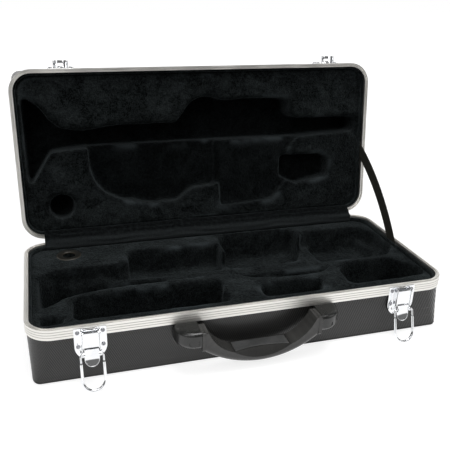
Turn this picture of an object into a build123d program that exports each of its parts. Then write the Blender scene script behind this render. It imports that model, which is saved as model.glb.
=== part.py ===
from build123d import *
from math import acos, atan, cos, degrees, radians, sin
import os

os.makedirs("parts", exist_ok=True)

# Millimetres. The origin is the centre of the base's flat bottom: +X runs along the length,
# -Y is the front with handle and latches, +Y the hinge side, +Z is up.

# The case over its aluminium frames
case_length = 560.0
case_depth = 246.7
base_height = 76.3
lid_height = 66.0
corner_radius = 32.0
rim_gap = 0.4
lid_open_angle = 97.5

# Moulded shells: a straight band at the rim, drafted walls below it
shell_wall = 2.6
shell_draft = 2.0
shell_edge_radius = 5.0
band_height = 16.0

# Aluminium valances: a channel over the rim, with a tongue on the base and a groove in the lid
valance_height = 13.5
valance_wall = 1.4
leg_height = 9.0
leg_wall = 1.2
base_flange = 1.4
lid_flange = 3.4
tongue_inset = 2.0
tongue_wall = 1.6
tongue_height = 1.2
tongue_gap = 0.4
line_depth = 0.35
line_width = 0.8
line_pitch = 3.3
butt_gap = 0.4

# Plush linings over moulded blocks
lining_drop = 8.0
border_drop = 2.5
border_wall = 3.4
relief_depth = 5.0
drawn_length = 560.0
drawn_depth = 246.7

# Clearances
seat_gap = 0.1
soft_gap = 0.3
pin_gap = 0.05
hole_gap = 0.1
fixed_gap = 0.02

# Cutters run past the walls they cut by more than any wall is thick
past_wall = 12.0
weld = 1.0

# Draw latches. Their heights are given as drops below the rim.
latch_inset = 73.5
sheet = 1.2
plate_width = 38.0
plate_height = 40.5
plate_top_drop = 1.8
plate_slope = 16.0
plate_foot = 8.0
plate_corner = 6.0
plate_foot_corner = 2.0
plate_scallop = 18.2
plate_scallop_rise = 16.0
latch_rivet_x = 14.7
latch_rivet_drop = 5.5
latch_rivet_pitch = 19.0
ear_wall = 1.1
ear_reach = 9.5
ear_foot = 6.0
ear_shoulder = 12.0
ear_corner = 3.0
pivot_out = 5.6
pivot_drop = 7.3
latch_pin_radius = 1.2
latch_pin_head = 0.5
lever_half = 9.6
lever_top = 2.0
cheek_rim = 1.5
cheek_taper = 2.0
slot_drop = 24.6
slot_height = 2.5
tongue_drop = 48.0
tongue_half = 8.75
tongue_sweep = 56.8
tongue_rim = 1.3
tongue_root = 4.0
tongue_dish = 0.4

# Wire bails, in the eyes of the levers, whose ends lean on what the case stands on
bail_out = 11.0
bail_drop = 31.8
bail_wire = 1.8
bail_neck = 1.25
bail_neck_length = 9.0
bail_cone = 2.0
bail_eye_rim = 1.4
bail_side_gap = 0.4
bail_end = 0.6
bail_bend = 2.2
bail_length = 44.5

# Catches on the lid
catch_width = 37.0
catch_low = 1.2
catch_high = 24.0
catch_corner = 6.0
catch_rivet_x = 14.2
catch_rivet_low = 7.2
catch_rivet_high = 19.5
hook_seat_out = 8.0
hook_lip_gap = 0.4
hook_side_gap = 1.15
hook_lip_rise = 0.3
hook_bend = 2.2
hook_window = 8.0
hook_window_low = 3.6
hook_window_high = 7.2
hook_leg = 5.6
hook_leg_reach = 2.4

# Rivets
rivet_radius = 1.5
rivet_head = 2.5
rivet_head_height = 1.2

# Handle. Its heights are given as drops below its pins, and those as a drop below the rim.
mount_start = 78.3
mount_length = 30.0
mount_drop = 10.0
mount_reach = 29.0
mount_root = 8.0
mount_corner = 25.0
mount_top_edge = 5.0
mount_low_edge = 7.5
handle_out = 17.0
handle_drop = 26.3
handle_pin_radius = 4.0
handle_pin_depth = 9.0
handle_pin_end = 0.5
grip_gap = 0.3
grip_back = 5.0
grip_end_drop = 13.0
grip_sag = 41.0
grip_rise = 11.5
grip_flat_half = 37.5
grip_flat_drop = 20.5
grip_flat_end = 70.0
grip_side_x = 59.0
grip_side_drop = 6.2
grip_edge = 8.0
scoop_depth = 5.0
scoop_drop = 12.0
pad_height = 3.0
pad_margin = 2.0
pad_proud = 0.6
pad_edge = 0.8
collar_width = 4.5
collar_proud = 0.4
collar_corner = 3.5
panel_start = 3.0
panel_length = 8.0
panel_size = 9.0
panel_depth = 0.7
screw_first = 8.0
screw_pitch = 12.5
screw_radius = 2.0
screw_head = 3.6
screw_head_height = 1.8
screw_bite = 11.0
screw_seat = 0.35
backing_wall = 1.6
backing_height = 18.0
backing_margin = 2.0

# Hinges
hinge_width = 44.0
hinge_spacing = 195.0
hinge_pin_radius = 1.95
hinge_pin_head = 0.8
knuckle_wall = 1.25
knuckle_clear = 1.3
leaf_low = 13.4
leaf_high = 7.0
neck_bend = 1.5
neck_out = 2.0
leaf_rivet_x = 14.0
leaf_rivet_edge = 3.0

# Stay strap and hinge cover
strap_thick = 1.5
strap_width = 20.0
strap_drop = 12.5
strap_base_y = 135.5
strap_lid_y = 138.0
strap_bow = 12.8
cover_margin = 30.0
cover_thick = 1.0

# Feet on the hinge side
foot_spacing = 400.0
foot_radius = 9.0
foot_reach = 11.0
foot_drop = 34.0
foot_stud = 3.0

# Places that follow from the sizes above
front_y = -case_depth / 2
back_y = case_depth / 2
rim_z = base_height
lid_rim_z = base_height + rim_gap
shell_inset = valance_wall + seat_gap
valance_lip = shell_inset + shell_wall + seat_gap + leg_wall
lining_inset = shell_inset + shell_wall + soft_gap
border_inset = valance_lip + soft_gap + border_wall

latch_x = case_length / 2 - latch_inset
plate_top = rim_z - plate_top_drop
plate_low = plate_top - plate_height
pivot_z = rim_z - pivot_drop
ear_inner = lever_half + soft_gap
cheek_radius = latch_pin_radius + cheek_rim
lever_face = pivot_out + cheek_radius
slot_high = rim_z - slot_drop
slot_low = slot_high - slot_height
tongue_low = rim_z - tongue_drop

bail_pivot_z = rim_z - bail_drop
bail_eye = bail_neck + bail_eye_rim
bail_half = ear_inner + ear_wall + bail_side_gap + bail_wire
stub_x = lever_half - sheet - bail_end
bail_lean = degrees(acos(min(1.0, (bail_pivot_z - bail_wire - seat_gap) / bail_length)))
loop_z = bail_pivot_z + bail_length - bail_half
saddle_radius = bail_half - bail_wire - 2 * seat_gap
saddle_z = loop_z + saddle_radius
hook_half = bail_half - bail_wire - hook_side_gap
hook_inner = hook_seat_out + bail_wire + hook_lip_gap
hook_reach = hook_inner + sheet
hook_tip = saddle_z + 2 * bail_wire + hook_lip_rise

handle_z = rim_z - handle_drop
mount_top = rim_z - valance_height - 2 * seat_gap
mount_low = handle_z - mount_drop
grip_end_low = handle_z - grip_end_drop
grip_low = handle_z - grip_sag
grip_top = handle_z + grip_rise
grip_flat_z = handle_z - grip_flat_drop
grip_side_z = handle_z - grip_side_drop

knuckle_radius = hinge_pin_radius + knuckle_wall
hinge_offset = knuckle_radius + knuckle_clear
leaf_rivet_drop = leaf_low - leaf_rivet_edge
hinge_y = back_y + hinge_offset
hinge_z = base_height + rim_gap / 2
strap_inset = valance_lip + soft_gap + strap_thick
strap_x = case_length / 2 - strap_inset


def outline(inset):
    """The case outline, this far in from the outer faces of the valances."""
    return RectangleRounded(case_length - 2 * inset, case_depth - 2 * inset, corner_radius - inset)


def block(inset, low, high):
    return extrude(Plane.XY.offset(low) * outline(inset), amount=high - low)


def band(outer, inner, low, high):
    return extrude(Plane.XY.offset(low) * (outline(outer) - outline(inner)), amount=high - low)


def draft_inset(height, z):
    """How far the drafted wall of a tray of this height has moved in at z."""
    shoulder = height - band_height
    return shell_draft * max(0.0, shoulder - z) / shoulder


def tray(height, inset, low, high, edge_radius):
    """A solid in the form of the tray: drafted sides, a straight band, a rounded bottom edge."""
    shoulder = height - band_height
    neck = Plane.XY.offset(shoulder) * outline(inset)
    body = extrude(neck, amount=low - shoulder, taper=degrees(atan(shell_draft / shoulder)))
    body = fillet(body.edges().group_by(Axis.Z)[0], edge_radius)
    return body + block(inset, shoulder, high)


def make_shell(height, flange):
    inner_radius = shell_edge_radius - shell_wall
    outer = tray(height, shell_inset, 0, height - flange - seat_gap, shell_edge_radius)
    return outer - tray(height, shell_inset + shell_wall, shell_wall, height, inner_radius)


def make_valance(height, flange):
    """The extruded channel, with three fine lines on its face and a butt joint at the back."""
    channel = band(0, valance_wall, height - valance_height, height)
    channel += band(0, valance_lip, height - flange, height)
    channel += band(valance_lip - leg_wall, valance_lip, height - leg_height, height)
    middle = height - valance_height / 2
    for z in (middle - line_pitch, middle, middle + line_pitch):
        channel -= band(-1, line_depth, z - line_width / 2, z + line_width / 2)
    return channel


def cut_butt_joint(valance, z):
    return valance - Pos(0, back_y, z) * Box(butt_gap, 4 * valance_lip, 3 * valance_height)


def face_of(points):
    return make_face(Polyline(*points, close=True))


def drawn_place(x, y):
    """A point drawn from the left end and the front of a tray, stretched with the tray."""
    return (x * case_length / drawn_length - case_length / 2,
            y * case_depth / drawn_depth - case_depth / 2)


def pocket(points, floor, radius):
    face = face_of([drawn_place(x, y) for x, y in points])
    face = fillet(face.vertices(), radius)
    return extrude(Plane.XY.offset(floor) * face, amount=base_height + lid_height)


def round_pocket(x, y, floor, radius):
    centre = Pos(*drawn_place(x, y), floor)
    return centre * extrude(Circle(radius), amount=base_height + lid_height)


def make_lining_block(height):
    """The uncut block: it fills the shell, clears the valance's leg and has a raised border."""
    inner_radius = shell_edge_radius - shell_wall - soft_gap
    shoulder = height - leg_height - soft_gap
    top = height - lining_drop
    edge = valance_lip + soft_gap
    body = tray(height, lining_inset, shell_wall + soft_gap, shoulder, inner_radius)
    body += block(edge, shoulder - weld, top)
    return body + band(edge, edge + border_wall, top - weld, height - border_drop)


def front_plane(out):
    """The plane of the case front, moved outwards; local x is +X and local y is +Z."""
    return Plane.XZ.offset(case_depth / 2 + out)


def side_slab(face, low_x, high_x):
    """A side profile, drawn as outward distance and height, between two X values."""
    plane = Plane(origin=(high_x, front_y, 0), x_dir=(0, -1, 0), z_dir=(-1, 0, 0))
    return extrude(plane * face, amount=high_x - low_x)


def x_rod(radius, low_x, high_x, out, z):
    middle = Pos((low_x + high_x) / 2, front_y - out, z)
    return middle * Rot(0, 90, 0) * Cylinder(radius, high_x - low_x)


def peg(radius, length):
    """A peg from the origin down -Z."""
    return Pos(0, 0, -length / 2) * Cylinder(radius, length)


def rivet(length):
    """A rivet: its bevelled head above the origin, the shank below it."""
    head = Pos(0, 0, rivet_head_height / 2) * Cylinder(rivet_head, rivet_head_height)
    head = chamfer(head.edges().group_by(Axis.Z)[-1], rivet_head_height / 2)
    return head + peg(rivet_radius, length)


def at_front(x, z, out=0.0):
    return Pos(x, front_y - out, z) * Rot(90, 0, 0)


def at_back(x, z, out=0.0):
    return Pos(x, back_y + out, z) * Rot(-90, 0, 0)


def inner_wall(height, z):
    """Distance from the case's outer face to the inner face of the shell wall at tray height z."""
    return shell_inset + shell_wall + draft_inset(height, z)


def latch_places():
    return {"left": -latch_x, "right": latch_x}


def latch_rivet_points():
    upper = plate_top - latch_rivet_drop
    lower = upper - latch_rivet_pitch
    return [(side * latch_rivet_x, z) for side in (-1, 1) for z in (upper, lower)]


def make_latch_plate():
    half = plate_width / 2
    curve_top = plate_low + plate_slope
    foot = half - plate_foot
    right = TangentArc((half, curve_top), (foot, plate_low), tangent=(0, -1))
    left = TangentArc((-half, curve_top), (-foot, plate_low), tangent=(0, -1))
    rest = [Line((foot, plate_low), (-foot, plate_low)), Line((-half, curve_top), (-half, plate_top)),
            Line((-half, plate_top), (half, plate_top)), Line((half, plate_top), (half, curve_top))]
    face = make_face([right, left] + rest)
    face = fillet(face.vertices().sort_by(Axis.Y)[:2], plate_foot_corner)
    face = fillet(face.vertices().sort_by(Axis.Y)[-2:], plate_corner / 4)
    face -= Pos(0, plate_top + plate_scallop_rise) * Circle(plate_scallop)
    plate = extrude(front_plane(0) * face, amount=sheet)
    for side in (-1, 1):
        low_x = min(side * ear_inner, side * (ear_inner + ear_wall))
        plate += side_slab(make_ear(), low_x, low_x + ear_wall)
    plate -= x_rod(latch_pin_radius + fixed_gap, -half, half, pivot_out, pivot_z)
    for x, z in latch_rivet_points():
        plate -= at_front(x, z, 2 * sheet) * peg(rivet_radius + hole_gap, 3 * sheet)
    return plate


def make_ear():
    """Side profile of one upright ear of the plate."""
    low = plate_low + ear_foot
    top = plate_top - sheet
    face = face_of([(0, low), (sheet, low), (ear_reach - ear_corner, low + ear_shoulder / 2),
                    (ear_reach, low + ear_shoulder), (ear_reach, top - ear_corner),
                    (ear_reach - ear_corner, top), (0, top)])
    outer = [v for v in face.vertices() if v.X > sheet + weld]
    return fillet(outer, ear_corner / 2)


def make_cheek():
    """Side of the lever: a round end at the pin, and a round eye for the bail's wire."""
    back = pivot_out - cheek_radius
    web = face_of([(back, pivot_z), (lever_face, pivot_z), (lever_face, slot_high),
                   (bail_out, bail_pivot_z + bail_eye),
                   (bail_out - cheek_taper / 2, bail_pivot_z - bail_eye),
                   (lever_face - cheek_taper, bail_pivot_z - bail_eye),
                   (back + cheek_taper, slot_high + cheek_taper)])
    web += Pos(pivot_out, pivot_z) * Circle(cheek_radius)
    web += Pos(bail_out, bail_pivot_z) * Circle(bail_eye)
    web -= Pos(pivot_out, pivot_z) * Circle(latch_pin_radius + pin_gap)
    return web - Pos(bail_out, bail_pivot_z) * Circle(bail_neck + pin_gap)


def make_tongue():
    """The finger tongue: a curved, dished strip with a round end."""
    middle = lever_face - sheet / 2 + tongue_sweep
    end_z = tongue_low + tongue_half
    hub = Pos(middle, slot_high)
    face_radius = tongue_sweep - sheet / 2
    strip = hub * (Circle(tongue_sweep + sheet / 2) - Circle(face_radius))
    dish = hub * (Circle(face_radius + tongue_dish) - Circle(face_radius - sheet))
    shape = Pos(0, (slot_low + end_z) / 2) * Rectangle(2 * tongue_half, slot_low - end_z)
    shape += Pos(0, end_z) * Circle(tongue_half)
    inner = offset(shape, -tongue_rim)
    shape += Pos(0, slot_low - tongue_root / 2) * Rectangle(2 * lever_half, tongue_root)
    body = side_slab(strip, -lever_half, lever_half)
    body &= extrude(front_plane(0) * shape, amount=mount_reach)
    hollow = side_slab(dish, -lever_half, lever_half)
    return body - (hollow & extrude(front_plane(0) * inner, amount=mount_reach))


def make_lever():
    face_top = pivot_z + lever_top
    face = face_of([(lever_face - sheet, slot_high), (lever_face, slot_high),
                    (lever_face, face_top), (lever_face - sheet, face_top)])
    lever = side_slab(face, -lever_half, lever_half) + make_tongue()
    for low_x in (-lever_half, lever_half - sheet):
        lever += side_slab(make_cheek(), low_x, low_x + sheet)
    return lever


def make_latch_pin():
    head_x = ear_inner + ear_wall
    pin = x_rod(latch_pin_radius, -head_x, head_x, pivot_out, pivot_z)
    for side in (-1, 1):
        low_x = min(side * head_x, side * (head_x + latch_pin_head))
        pin += x_rod(latch_pin_radius + latch_pin_head, low_x, low_x + latch_pin_head, pivot_out,
                     pivot_z)
    return pin


def make_bail():
    """The wire loop with its thinner necks, hanging from its pivot line clear of the floor."""
    loop_top = bail_neck_length + bail_cone
    turn_z = bail_half - bail_length
    path = Line((-bail_half, 0, -loop_top), (-bail_half, 0, turn_z))
    path += ThreePointArc((-bail_half, 0, turn_z), (0, 0, -bail_length), (bail_half, 0, turn_z))
    path += Line((bail_half, 0, turn_z), (bail_half, 0, -loop_top))
    section = Plane(origin=(-bail_half, 0, -loop_top), z_dir=(0, 0, -1)) * Circle(bail_wire)
    wire = sweep(section, path=path)
    for side in (-1, 1):
        wire += make_bail_neck(side)
    return Pos(0, front_y - bail_out, bail_pivot_z) * Rot(-bail_lean, 0, 0) * wire


def make_bail_neck(side):
    """The thinner end of the wire, bent in at the top to the stub in the lever's eye."""
    path = FilletPolyline((side * stub_x, 0, 0), (side * bail_half, 0, 0),
                          (side * bail_half, 0, -bail_neck_length), radius=bail_bend)
    section = Plane(origin=(side * stub_x, 0, 0), z_dir=(side, 0, 0)) * Circle(bail_neck)
    cone = Pos(side * bail_half, 0, -bail_neck_length - bail_cone / 2)
    return sweep(section, path=path) + cone * Cone(bail_wire, bail_neck, bail_cone)


def catch_rivet_points():
    heights = (catch_rivet_low, catch_rivet_high)
    return [(side * catch_rivet_x, lid_rim_z + h) for side in (-1, 1) for h in heights]


def hook_arch(radius):
    """A bar out of the case front, round where the end of the closed bail is."""
    return extrude(front_plane(0) * (Pos(0, loop_z) * Circle(radius)), amount=hook_reach)


def make_hook():
    """The hook: an arched saddle, on which the bail's end sits, and a lip in front of it."""
    low = lid_rim_z + catch_low
    lip_face = face_of([(hook_inner, low), (hook_reach, low), (hook_reach, hook_tip),
                        (hook_inner, hook_tip)])
    lip = side_slab(lip_face, -hook_half, hook_half)
    lip = fillet(lip.edges().filter_by(Axis.Y).group_by(Axis.Z)[-1], hook_bend)
    room = Pos(hook_inner / 2, low + saddle_radius) * Rectangle(hook_inner, 2 * saddle_radius)
    saddle = hook_arch(saddle_radius) & side_slab(room, -hook_half, hook_half)
    return saddle + lip - hook_arch(saddle_radius - sheet)


def make_catch():
    """The riveted plate and its hook, which opens away from the rim."""
    half = catch_width / 2
    low = lid_rim_z + catch_low
    high = lid_rim_z + catch_high
    plate_face = face_of([(-half, low), (half, low), (half, high), (-half, high)])
    plate_face = fillet(plate_face.vertices().sort_by(Axis.Y)[2:], catch_corner)
    plate = extrude(front_plane(0) * plate_face, amount=sheet)
    plate += make_hook()
    leg = saddle_z - sheet / 2 - low
    plate += Pos(0, front_y - hook_leg_reach / 2, low + leg / 2) * Box(hook_leg, hook_leg_reach, leg)
    window_out = (hook_window_low + hook_window_high) / 2
    window = Box(hook_window, hook_window_high - hook_window_low, 4 * sheet)
    plate -= Pos(0, front_y - window_out, saddle_z) * window
    for x, z in catch_rivet_points():
        plate -= at_front(x, z, 2 * sheet) * peg(rivet_radius + hole_gap, 3 * sheet)
    return plate


def mount_plan(inset):
    """Plan of the right mount: square to the seam, a wide round at its outer corner."""
    end = mount_start + mount_length - inset
    front = front_y - mount_reach + inset
    back = front_y + mount_root
    plan = face_of([(mount_start, back), (end, back), (end, front),
                    (mount_start, front)])
    corner = [v for v in plan.vertices() if v.X > mount_start + weld and v.Y < front_y]
    return fillet(corner, mount_corner - inset)


def make_mount():
    """The right handle mount, seated on the drafted wall of the shell."""
    body = Pos(0, 0, mount_low) * extrude(mount_plan(0), amount=mount_top - mount_low)
    for level, radius in ((-1, mount_top_edge), (0, mount_low_edge)):
        rim = [e for e in body.edges().group_by(Axis.Z)[level]
               if e.center().X > mount_start + weld and e.center().Y < front_y + mount_root - weld]
        body = fillet(rim, radius)
    body -= tray(base_height, shell_inset, 0, base_height, shell_edge_radius)
    body -= make_mount_recess()
    body -= x_rod(handle_pin_radius + fixed_gap, mount_start - weld, mount_start + handle_pin_depth,
                  handle_out, handle_z)
    for x in screw_places():
        body -= at_front(x, handle_z, screw_bite + weld) * peg(screw_radius + fixed_gap, mount_reach)
    return body


def make_mount_recess():
    """A plain shallow panel with one round end, which follows the mount's curved face."""
    z = mount_low + panel_size
    start = mount_start + panel_start
    panel = Pos(start + panel_length / 2, z) * Rectangle(panel_length, panel_size)
    panel += Pos(start + panel_length, z) * Circle(panel_size / 2)
    column = extrude(front_plane(0) * panel, amount=mount_reach + past_wall)
    skin = extrude(mount_plan(-1) - mount_plan(panel_depth), amount=rim_z)
    return column & skin


def screw_places():
    return [mount_start + screw_first, mount_start + screw_first + screw_pitch]


def make_grip():
    """The grip: an arched bar with flared ends, a flat for the pad and a scooped front."""
    end = mount_start - grip_gap
    edges = [
        ThreePointArc((-end, grip_end_low), (0, grip_low), (end, grip_end_low)),
        Line((end, grip_end_low), (end, grip_top)),
        Line((end, grip_top), (grip_flat_end, grip_top)),
        ThreePointArc((grip_flat_end, grip_top), (grip_side_x, grip_side_z),
                      (grip_flat_half, grip_flat_z)),
        Line((grip_flat_half, grip_flat_z), (-grip_flat_half, grip_flat_z)),
        ThreePointArc((-grip_flat_half, grip_flat_z), (-grip_side_x, grip_side_z),
                      (-grip_flat_end, grip_top)),
        Line((-grip_flat_end, grip_top), (-end, grip_top)),
        Line((-end, grip_top), (-end, grip_end_low)),
    ]
    front_face = make_face(edges)
    bar = extrude(front_plane(grip_back) * front_face, amount=mount_reach - grip_back)
    middle_z = (grip_low + grip_flat_z) / 2
    lower = [e for e in bar.edges() if abs(e.center().X) < 1 and e.center().Z < middle_z]
    bar = fillet(lower, grip_edge)
    bar -= scoop(0)
    bar -= Pos(0, 0, grip_flat_z - pad_height) * extrude(pad_plan(seat_gap), amount=2 * pad_height)
    bar += make_collars()
    for side in (-1, 1):
        low_x = min(side * end, side * (end - handle_pin_depth))
        bar -= x_rod(handle_pin_radius + pin_gap, low_x - fixed_gap,
                     low_x + handle_pin_depth + fixed_gap, handle_out, handle_z)
    return bar


def scoop(inset):
    """The bevel of the grip's front edge, deepest in the middle."""
    front = front_y - mount_reach
    middle = ThreePointArc((-grip_flat_half, front + inset), (0, front + scoop_depth + inset),
                           (grip_flat_half, front + inset))
    far = Polyline((grip_flat_half, front + inset), (grip_flat_half, front - mount_reach),
                   (-grip_flat_half, front - mount_reach), (-grip_flat_half, front + inset))
    face = Plane.XY.offset(grip_flat_z) * make_face([middle, far])
    return extrude(face, amount=2 * scoop_drop, dir=(0, -scoop_depth, -scoop_drop))


def pad_plan(clearance):
    """Plan of the pad, which follows the scooped edge of the grip."""
    half = grip_flat_half - pad_margin + clearance
    back = front_y - grip_back - pad_margin + clearance
    front = front_y - mount_reach + pad_margin - clearance
    bow = ThreePointArc((-half, front), (0, front + scoop_depth), (half, front))
    rest = Polyline((half, front), (half, back), (-half, back), (-half, front))
    return make_face([bow, rest])


def make_pad():
    floor = grip_flat_z - pad_height + seat_gap
    pad = Pos(0, 0, floor) * extrude(pad_plan(0), amount=pad_height + pad_proud)
    top = pad.edges().group_by(Axis.Z)[-1]
    return fillet(top, pad_edge)


def make_collars():
    """A slightly proud band at each end of the grip."""
    end = mount_start - grip_gap
    depth = mount_reach - grip_back + 2 * collar_proud
    height = grip_top - grip_end_low + 2 * collar_proud
    collars = []
    for side in (-1, 1):
        centre = Pos(side * (end - collar_width / 2),
                     front_y - grip_back - depth / 2 + collar_proud, (grip_top + grip_end_low) / 2)
        collar = centre * Box(collar_width, depth, height)
        collars.append(fillet(collar.edges().filter_by(Axis.X), collar_corner))
    return collars


def make_handle_pin():
    end = mount_start - grip_gap
    reach = handle_pin_depth - handle_pin_end
    return x_rod(handle_pin_radius, end - reach, mount_start + reach, handle_out, handle_z)


def wall_layer(height, start, thick):
    """A skin inside the shell wall, between two distances from its inner face."""
    inset = shell_inset + shell_wall
    edge = shell_edge_radius - shell_wall
    outer = tray(height, inset + start, shell_wall, height - leg_height, edge)
    return outer - tray(height, inset + start + thick, 0, height, edge)


def mount_zones(grow):
    """Where the backing plates are, behind the mounts, or a room that much larger."""
    width = mount_length - 2 * backing_margin + 2 * grow
    height = backing_height + 2 * grow
    centre_x = mount_start + mount_length / 2
    depth = 2 * inner_wall(base_height, handle_z - height / 2) + 2 * backing_wall
    return [Pos(side * centre_x, front_y, handle_z) * Box(width, 2 * depth, height)
            for side in (-1, 1)]


def make_backing_plates():
    layer = wall_layer(base_height, 0, backing_wall)
    plates = []
    for zone in mount_zones(0):
        plate = layer & zone
        for x in screw_places():
            for side in (-1, 1):
                plate -= at_front(side * x, handle_z) * peg(screw_radius + hole_gap, mount_reach)
        plates.append(plate)
    return plates


def make_handle_screws():
    """Screws from inside, through plate and shell into the mounts, with flat round heads."""
    inside = inner_wall(base_height, handle_z) + backing_wall
    screws = []
    for x in screw_places():
        for side in (-1, 1):
            shank = at_front(side * x, handle_z, screw_bite)
            head = at_front(side * x, handle_z, -inside - screw_seat)
            screws.append(shank * peg(screw_radius, screw_bite + inside + weld)
                          + head * peg(screw_head, screw_head_height))
    return screws


def hinge_places():
    return {"left": -hinge_spacing, "centre": 0.0, "right": hinge_spacing}


def hinge_face(up):
    """Side profile of a leaf, outwards from the back and up from the pin; up is 1 for the lid."""
    top = leaf_high + weld
    inner, outer = leaf_high - neck_bend, neck_bend + sheet
    neck = [(0, up * top), (0, up * inner), (neck_out, up * outer),
            (hinge_offset, up * hinge_pin_radius), (hinge_offset, up * knuckle_radius),
            (neck_out + sheet, up * (outer + sheet / 2)), (sheet, up * (inner + sheet / 2)),
            (sheet, up * top)]
    face = face_of(neck) + Pos(hinge_offset, 0) * Circle(knuckle_radius)
    return face - Pos(hinge_offset, 0) * Circle(hinge_pin_radius + pin_gap)


def back_slab(face, low_x, high_x):
    """A side profile at the back, drawn as outward distance and height over the hinge pin."""
    plane = Plane(origin=(low_x, back_y, hinge_z), x_dir=(0, 1, 0), z_dir=(1, 0, 0))
    return extrude(plane * face, amount=high_x - low_x)


def make_leaf(x, up):
    """A leaf on the valance's back face; the base has the outer knuckles, the lid the middle."""
    half = hinge_width / 2
    third = hinge_width / 6
    plate = face_of([(0, up * leaf_high), (sheet, up * leaf_high), (sheet, up * leaf_low),
                     (0, up * leaf_low)])
    leaf = back_slab(plate, x - half, x + half)
    if up > 0:
        leaf += back_slab(hinge_face(up), x - third + soft_gap, x + third - soft_gap)
    else:
        leaf += back_slab(hinge_face(up), x - half, x - third)
        leaf += back_slab(hinge_face(up), x + third, x + half)
    for side in (-1, 1):
        z = hinge_z + up * leaf_rivet_drop
        leaf -= at_back(x + side * leaf_rivet_x, z, 2 * sheet) * peg(rivet_radius + hole_gap, past_wall)
    return leaf


def make_hinge_pin(x):
    half = hinge_width / 2
    pin = Pos(x, hinge_y, hinge_z) * Rot(0, 90, 0) * Cylinder(hinge_pin_radius, hinge_width)
    for side in (-1, 1):
        head = Pos(x + side * (half + hinge_pin_head / 2), hinge_y, hinge_z) * Rot(0, 90, 0)
        pin += head * Cylinder(hinge_pin_radius + hinge_pin_head, hinge_pin_head)
    return pin


def leaf_rivet_points(up):
    z = hinge_z + up * leaf_rivet_drop
    return [(x + side * leaf_rivet_x, z) for x in hinge_places().values() for side in (-1, 1)]


def strap_ends():
    """Both rivets of the stay strap, in the plane across the case, with the lid open."""
    base = (front_y + strap_base_y, rim_z - strap_drop)
    closed_y = front_y + strap_lid_y - hinge_y
    closed_z = lid_rim_z + strap_drop - hinge_z
    turn = radians(lid_open_angle)
    lid = (hinge_y + closed_y * cos(turn) + closed_z * sin(turn),
           hinge_z - closed_y * sin(turn) + closed_z * cos(turn))
    return base, lid


def strap_face(grow):
    """The strap from its side: round ends about both rivets, bowed up between them."""
    base, lid = strap_ends()
    run = Vector(*lid) - Vector(*base)
    middle = Vector(*base) + run / 2 + Vector(-run.Y, run.X).normalized() * strap_bow
    return SlotArc(ThreePointArc(base, middle, lid), strap_width + 2 * grow)


def across_right_end(face, inset, thick):
    """A side view of the right end made solid, outwards from this far inside the case's end."""
    plane = Plane(origin=(case_length / 2 - inset, 0, 0), x_dir=(0, 1, 0), z_dir=(1, 0, 0))
    return extrude(plane * face, amount=thick)


def make_strap():
    """Flat webbing, riveted at both ends."""
    face = strap_face(0)
    for y, z in strap_ends():
        face -= Pos(y, z) * Circle(rivet_radius + hole_gap)
    return across_right_end(face, strap_inset, strap_thick)


def strap_rivet(y, z):
    """Head on the strap, shank through it and the lining's edge into the shell wall."""
    length = strap_inset - shell_inset
    return Pos(strap_x, y, z) * Rot(0, -90, 0) * rivet(length)


def strap_slit():
    """Room in the linings for the strap, with the lid open."""
    inset = strap_inset + soft_gap
    return across_right_end(strap_face(soft_gap), inset, strap_thick + 2 * soft_gap)


def rivet_room(y, z):
    """Room in a lining for a strap rivet."""
    head_inset = strap_inset + rivet_head_height + soft_gap
    head = across_right_end(Pos(y, z) * Circle(rivet_head + soft_gap), head_inset,
                            rivet_head_height + 2 * soft_gap)
    shank = across_right_end(Pos(y, z) * Circle(rivet_radius + soft_gap), head_inset, head_inset)
    return head + shank


def make_hinge_cover():
    """Fabric from the base lining's border over both valances to the lid lining's border."""
    inner = back_y - border_inset - soft_gap
    top = base_height - lining_drop
    turn = radians(lid_open_angle)
    reach = hinge_y - inner
    lid_y = hinge_y - reach * cos(turn)
    lid_z = hinge_z + reach * sin(turn)
    points = [(inner, top + 0.6), (inner, rim_z + 1.5), (lid_y + 2.5, lid_z + 0.4),
              (lid_y + lining_drop - 0.8, lid_z - 0.6)]
    plane = Plane(origin=(cover_margin - case_length / 2, 0, 0), x_dir=(0, 1, 0), z_dir=(1, 0, 0))
    outer = offset_points(points, cover_thick)
    face = face_of(points + outer[::-1])
    return extrude(plane * face, amount=case_length - 2 * cover_margin)


def offset_points(points, distance):
    """The inner side of the cover, this far in front of its back."""
    (a, b, c, d) = points
    return [(a[0] - distance, a[1]), (b[0] - distance, b[1] + 0.5 * distance),
            (c[0] - 0.5 * distance, c[1] + distance), (d[0], d[1] + distance)]


def make_foot(height):
    """A moulded foot with a stud through the shell, which it is seated on."""
    inner = inner_wall(height, height - foot_drop)
    root = inner - shell_wall / 2
    dome = Pos(0, 0, (foot_reach - root) / 2) * Cylinder(foot_radius, foot_reach + root)
    dome = fillet(dome.edges().group_by(Axis.Z)[-1], foot_radius / 3)
    return dome, peg(foot_stud, inner)


def make_feet(height, z, solid_below):
    feet = []
    for side in (-1, 1):
        dome, stud = make_foot(height)
        place = at_back(side * foot_spacing / 2, z)
        feet.append(place * dome - solid_below + place * stud)
    return feet


def cut_front_holes(body, points, radius):
    for x, z in points:
        body -= at_front(x, z, weld) * peg(radius, past_wall)
    return body


def cut_back_holes(body, points, radius):
    for x, z in points:
        body -= at_back(x, z, weld) * peg(radius, past_wall)
    return body


def to_closed_lid(solid):
    """From the tray frame, rim up, to the closed lid, rim down."""
    return Pos(0, 0, lid_rim_z + lid_height) * Rot(180, 0, 0) * solid


def open_lid(solid):
    """From the closed lid to the open one, about the hinge pins."""
    return Pos(0, hinge_y, hinge_z) * Rot(-lid_open_angle, 0, 0) * Pos(0, -hinge_y, -hinge_z) * solid


def close_lid(solid):
    """From the open lid back to the closed one."""
    return Pos(0, hinge_y, hinge_z) * Rot(lid_open_angle, 0, 0) * Pos(0, -hinge_y, -hinge_z) * solid


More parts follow.
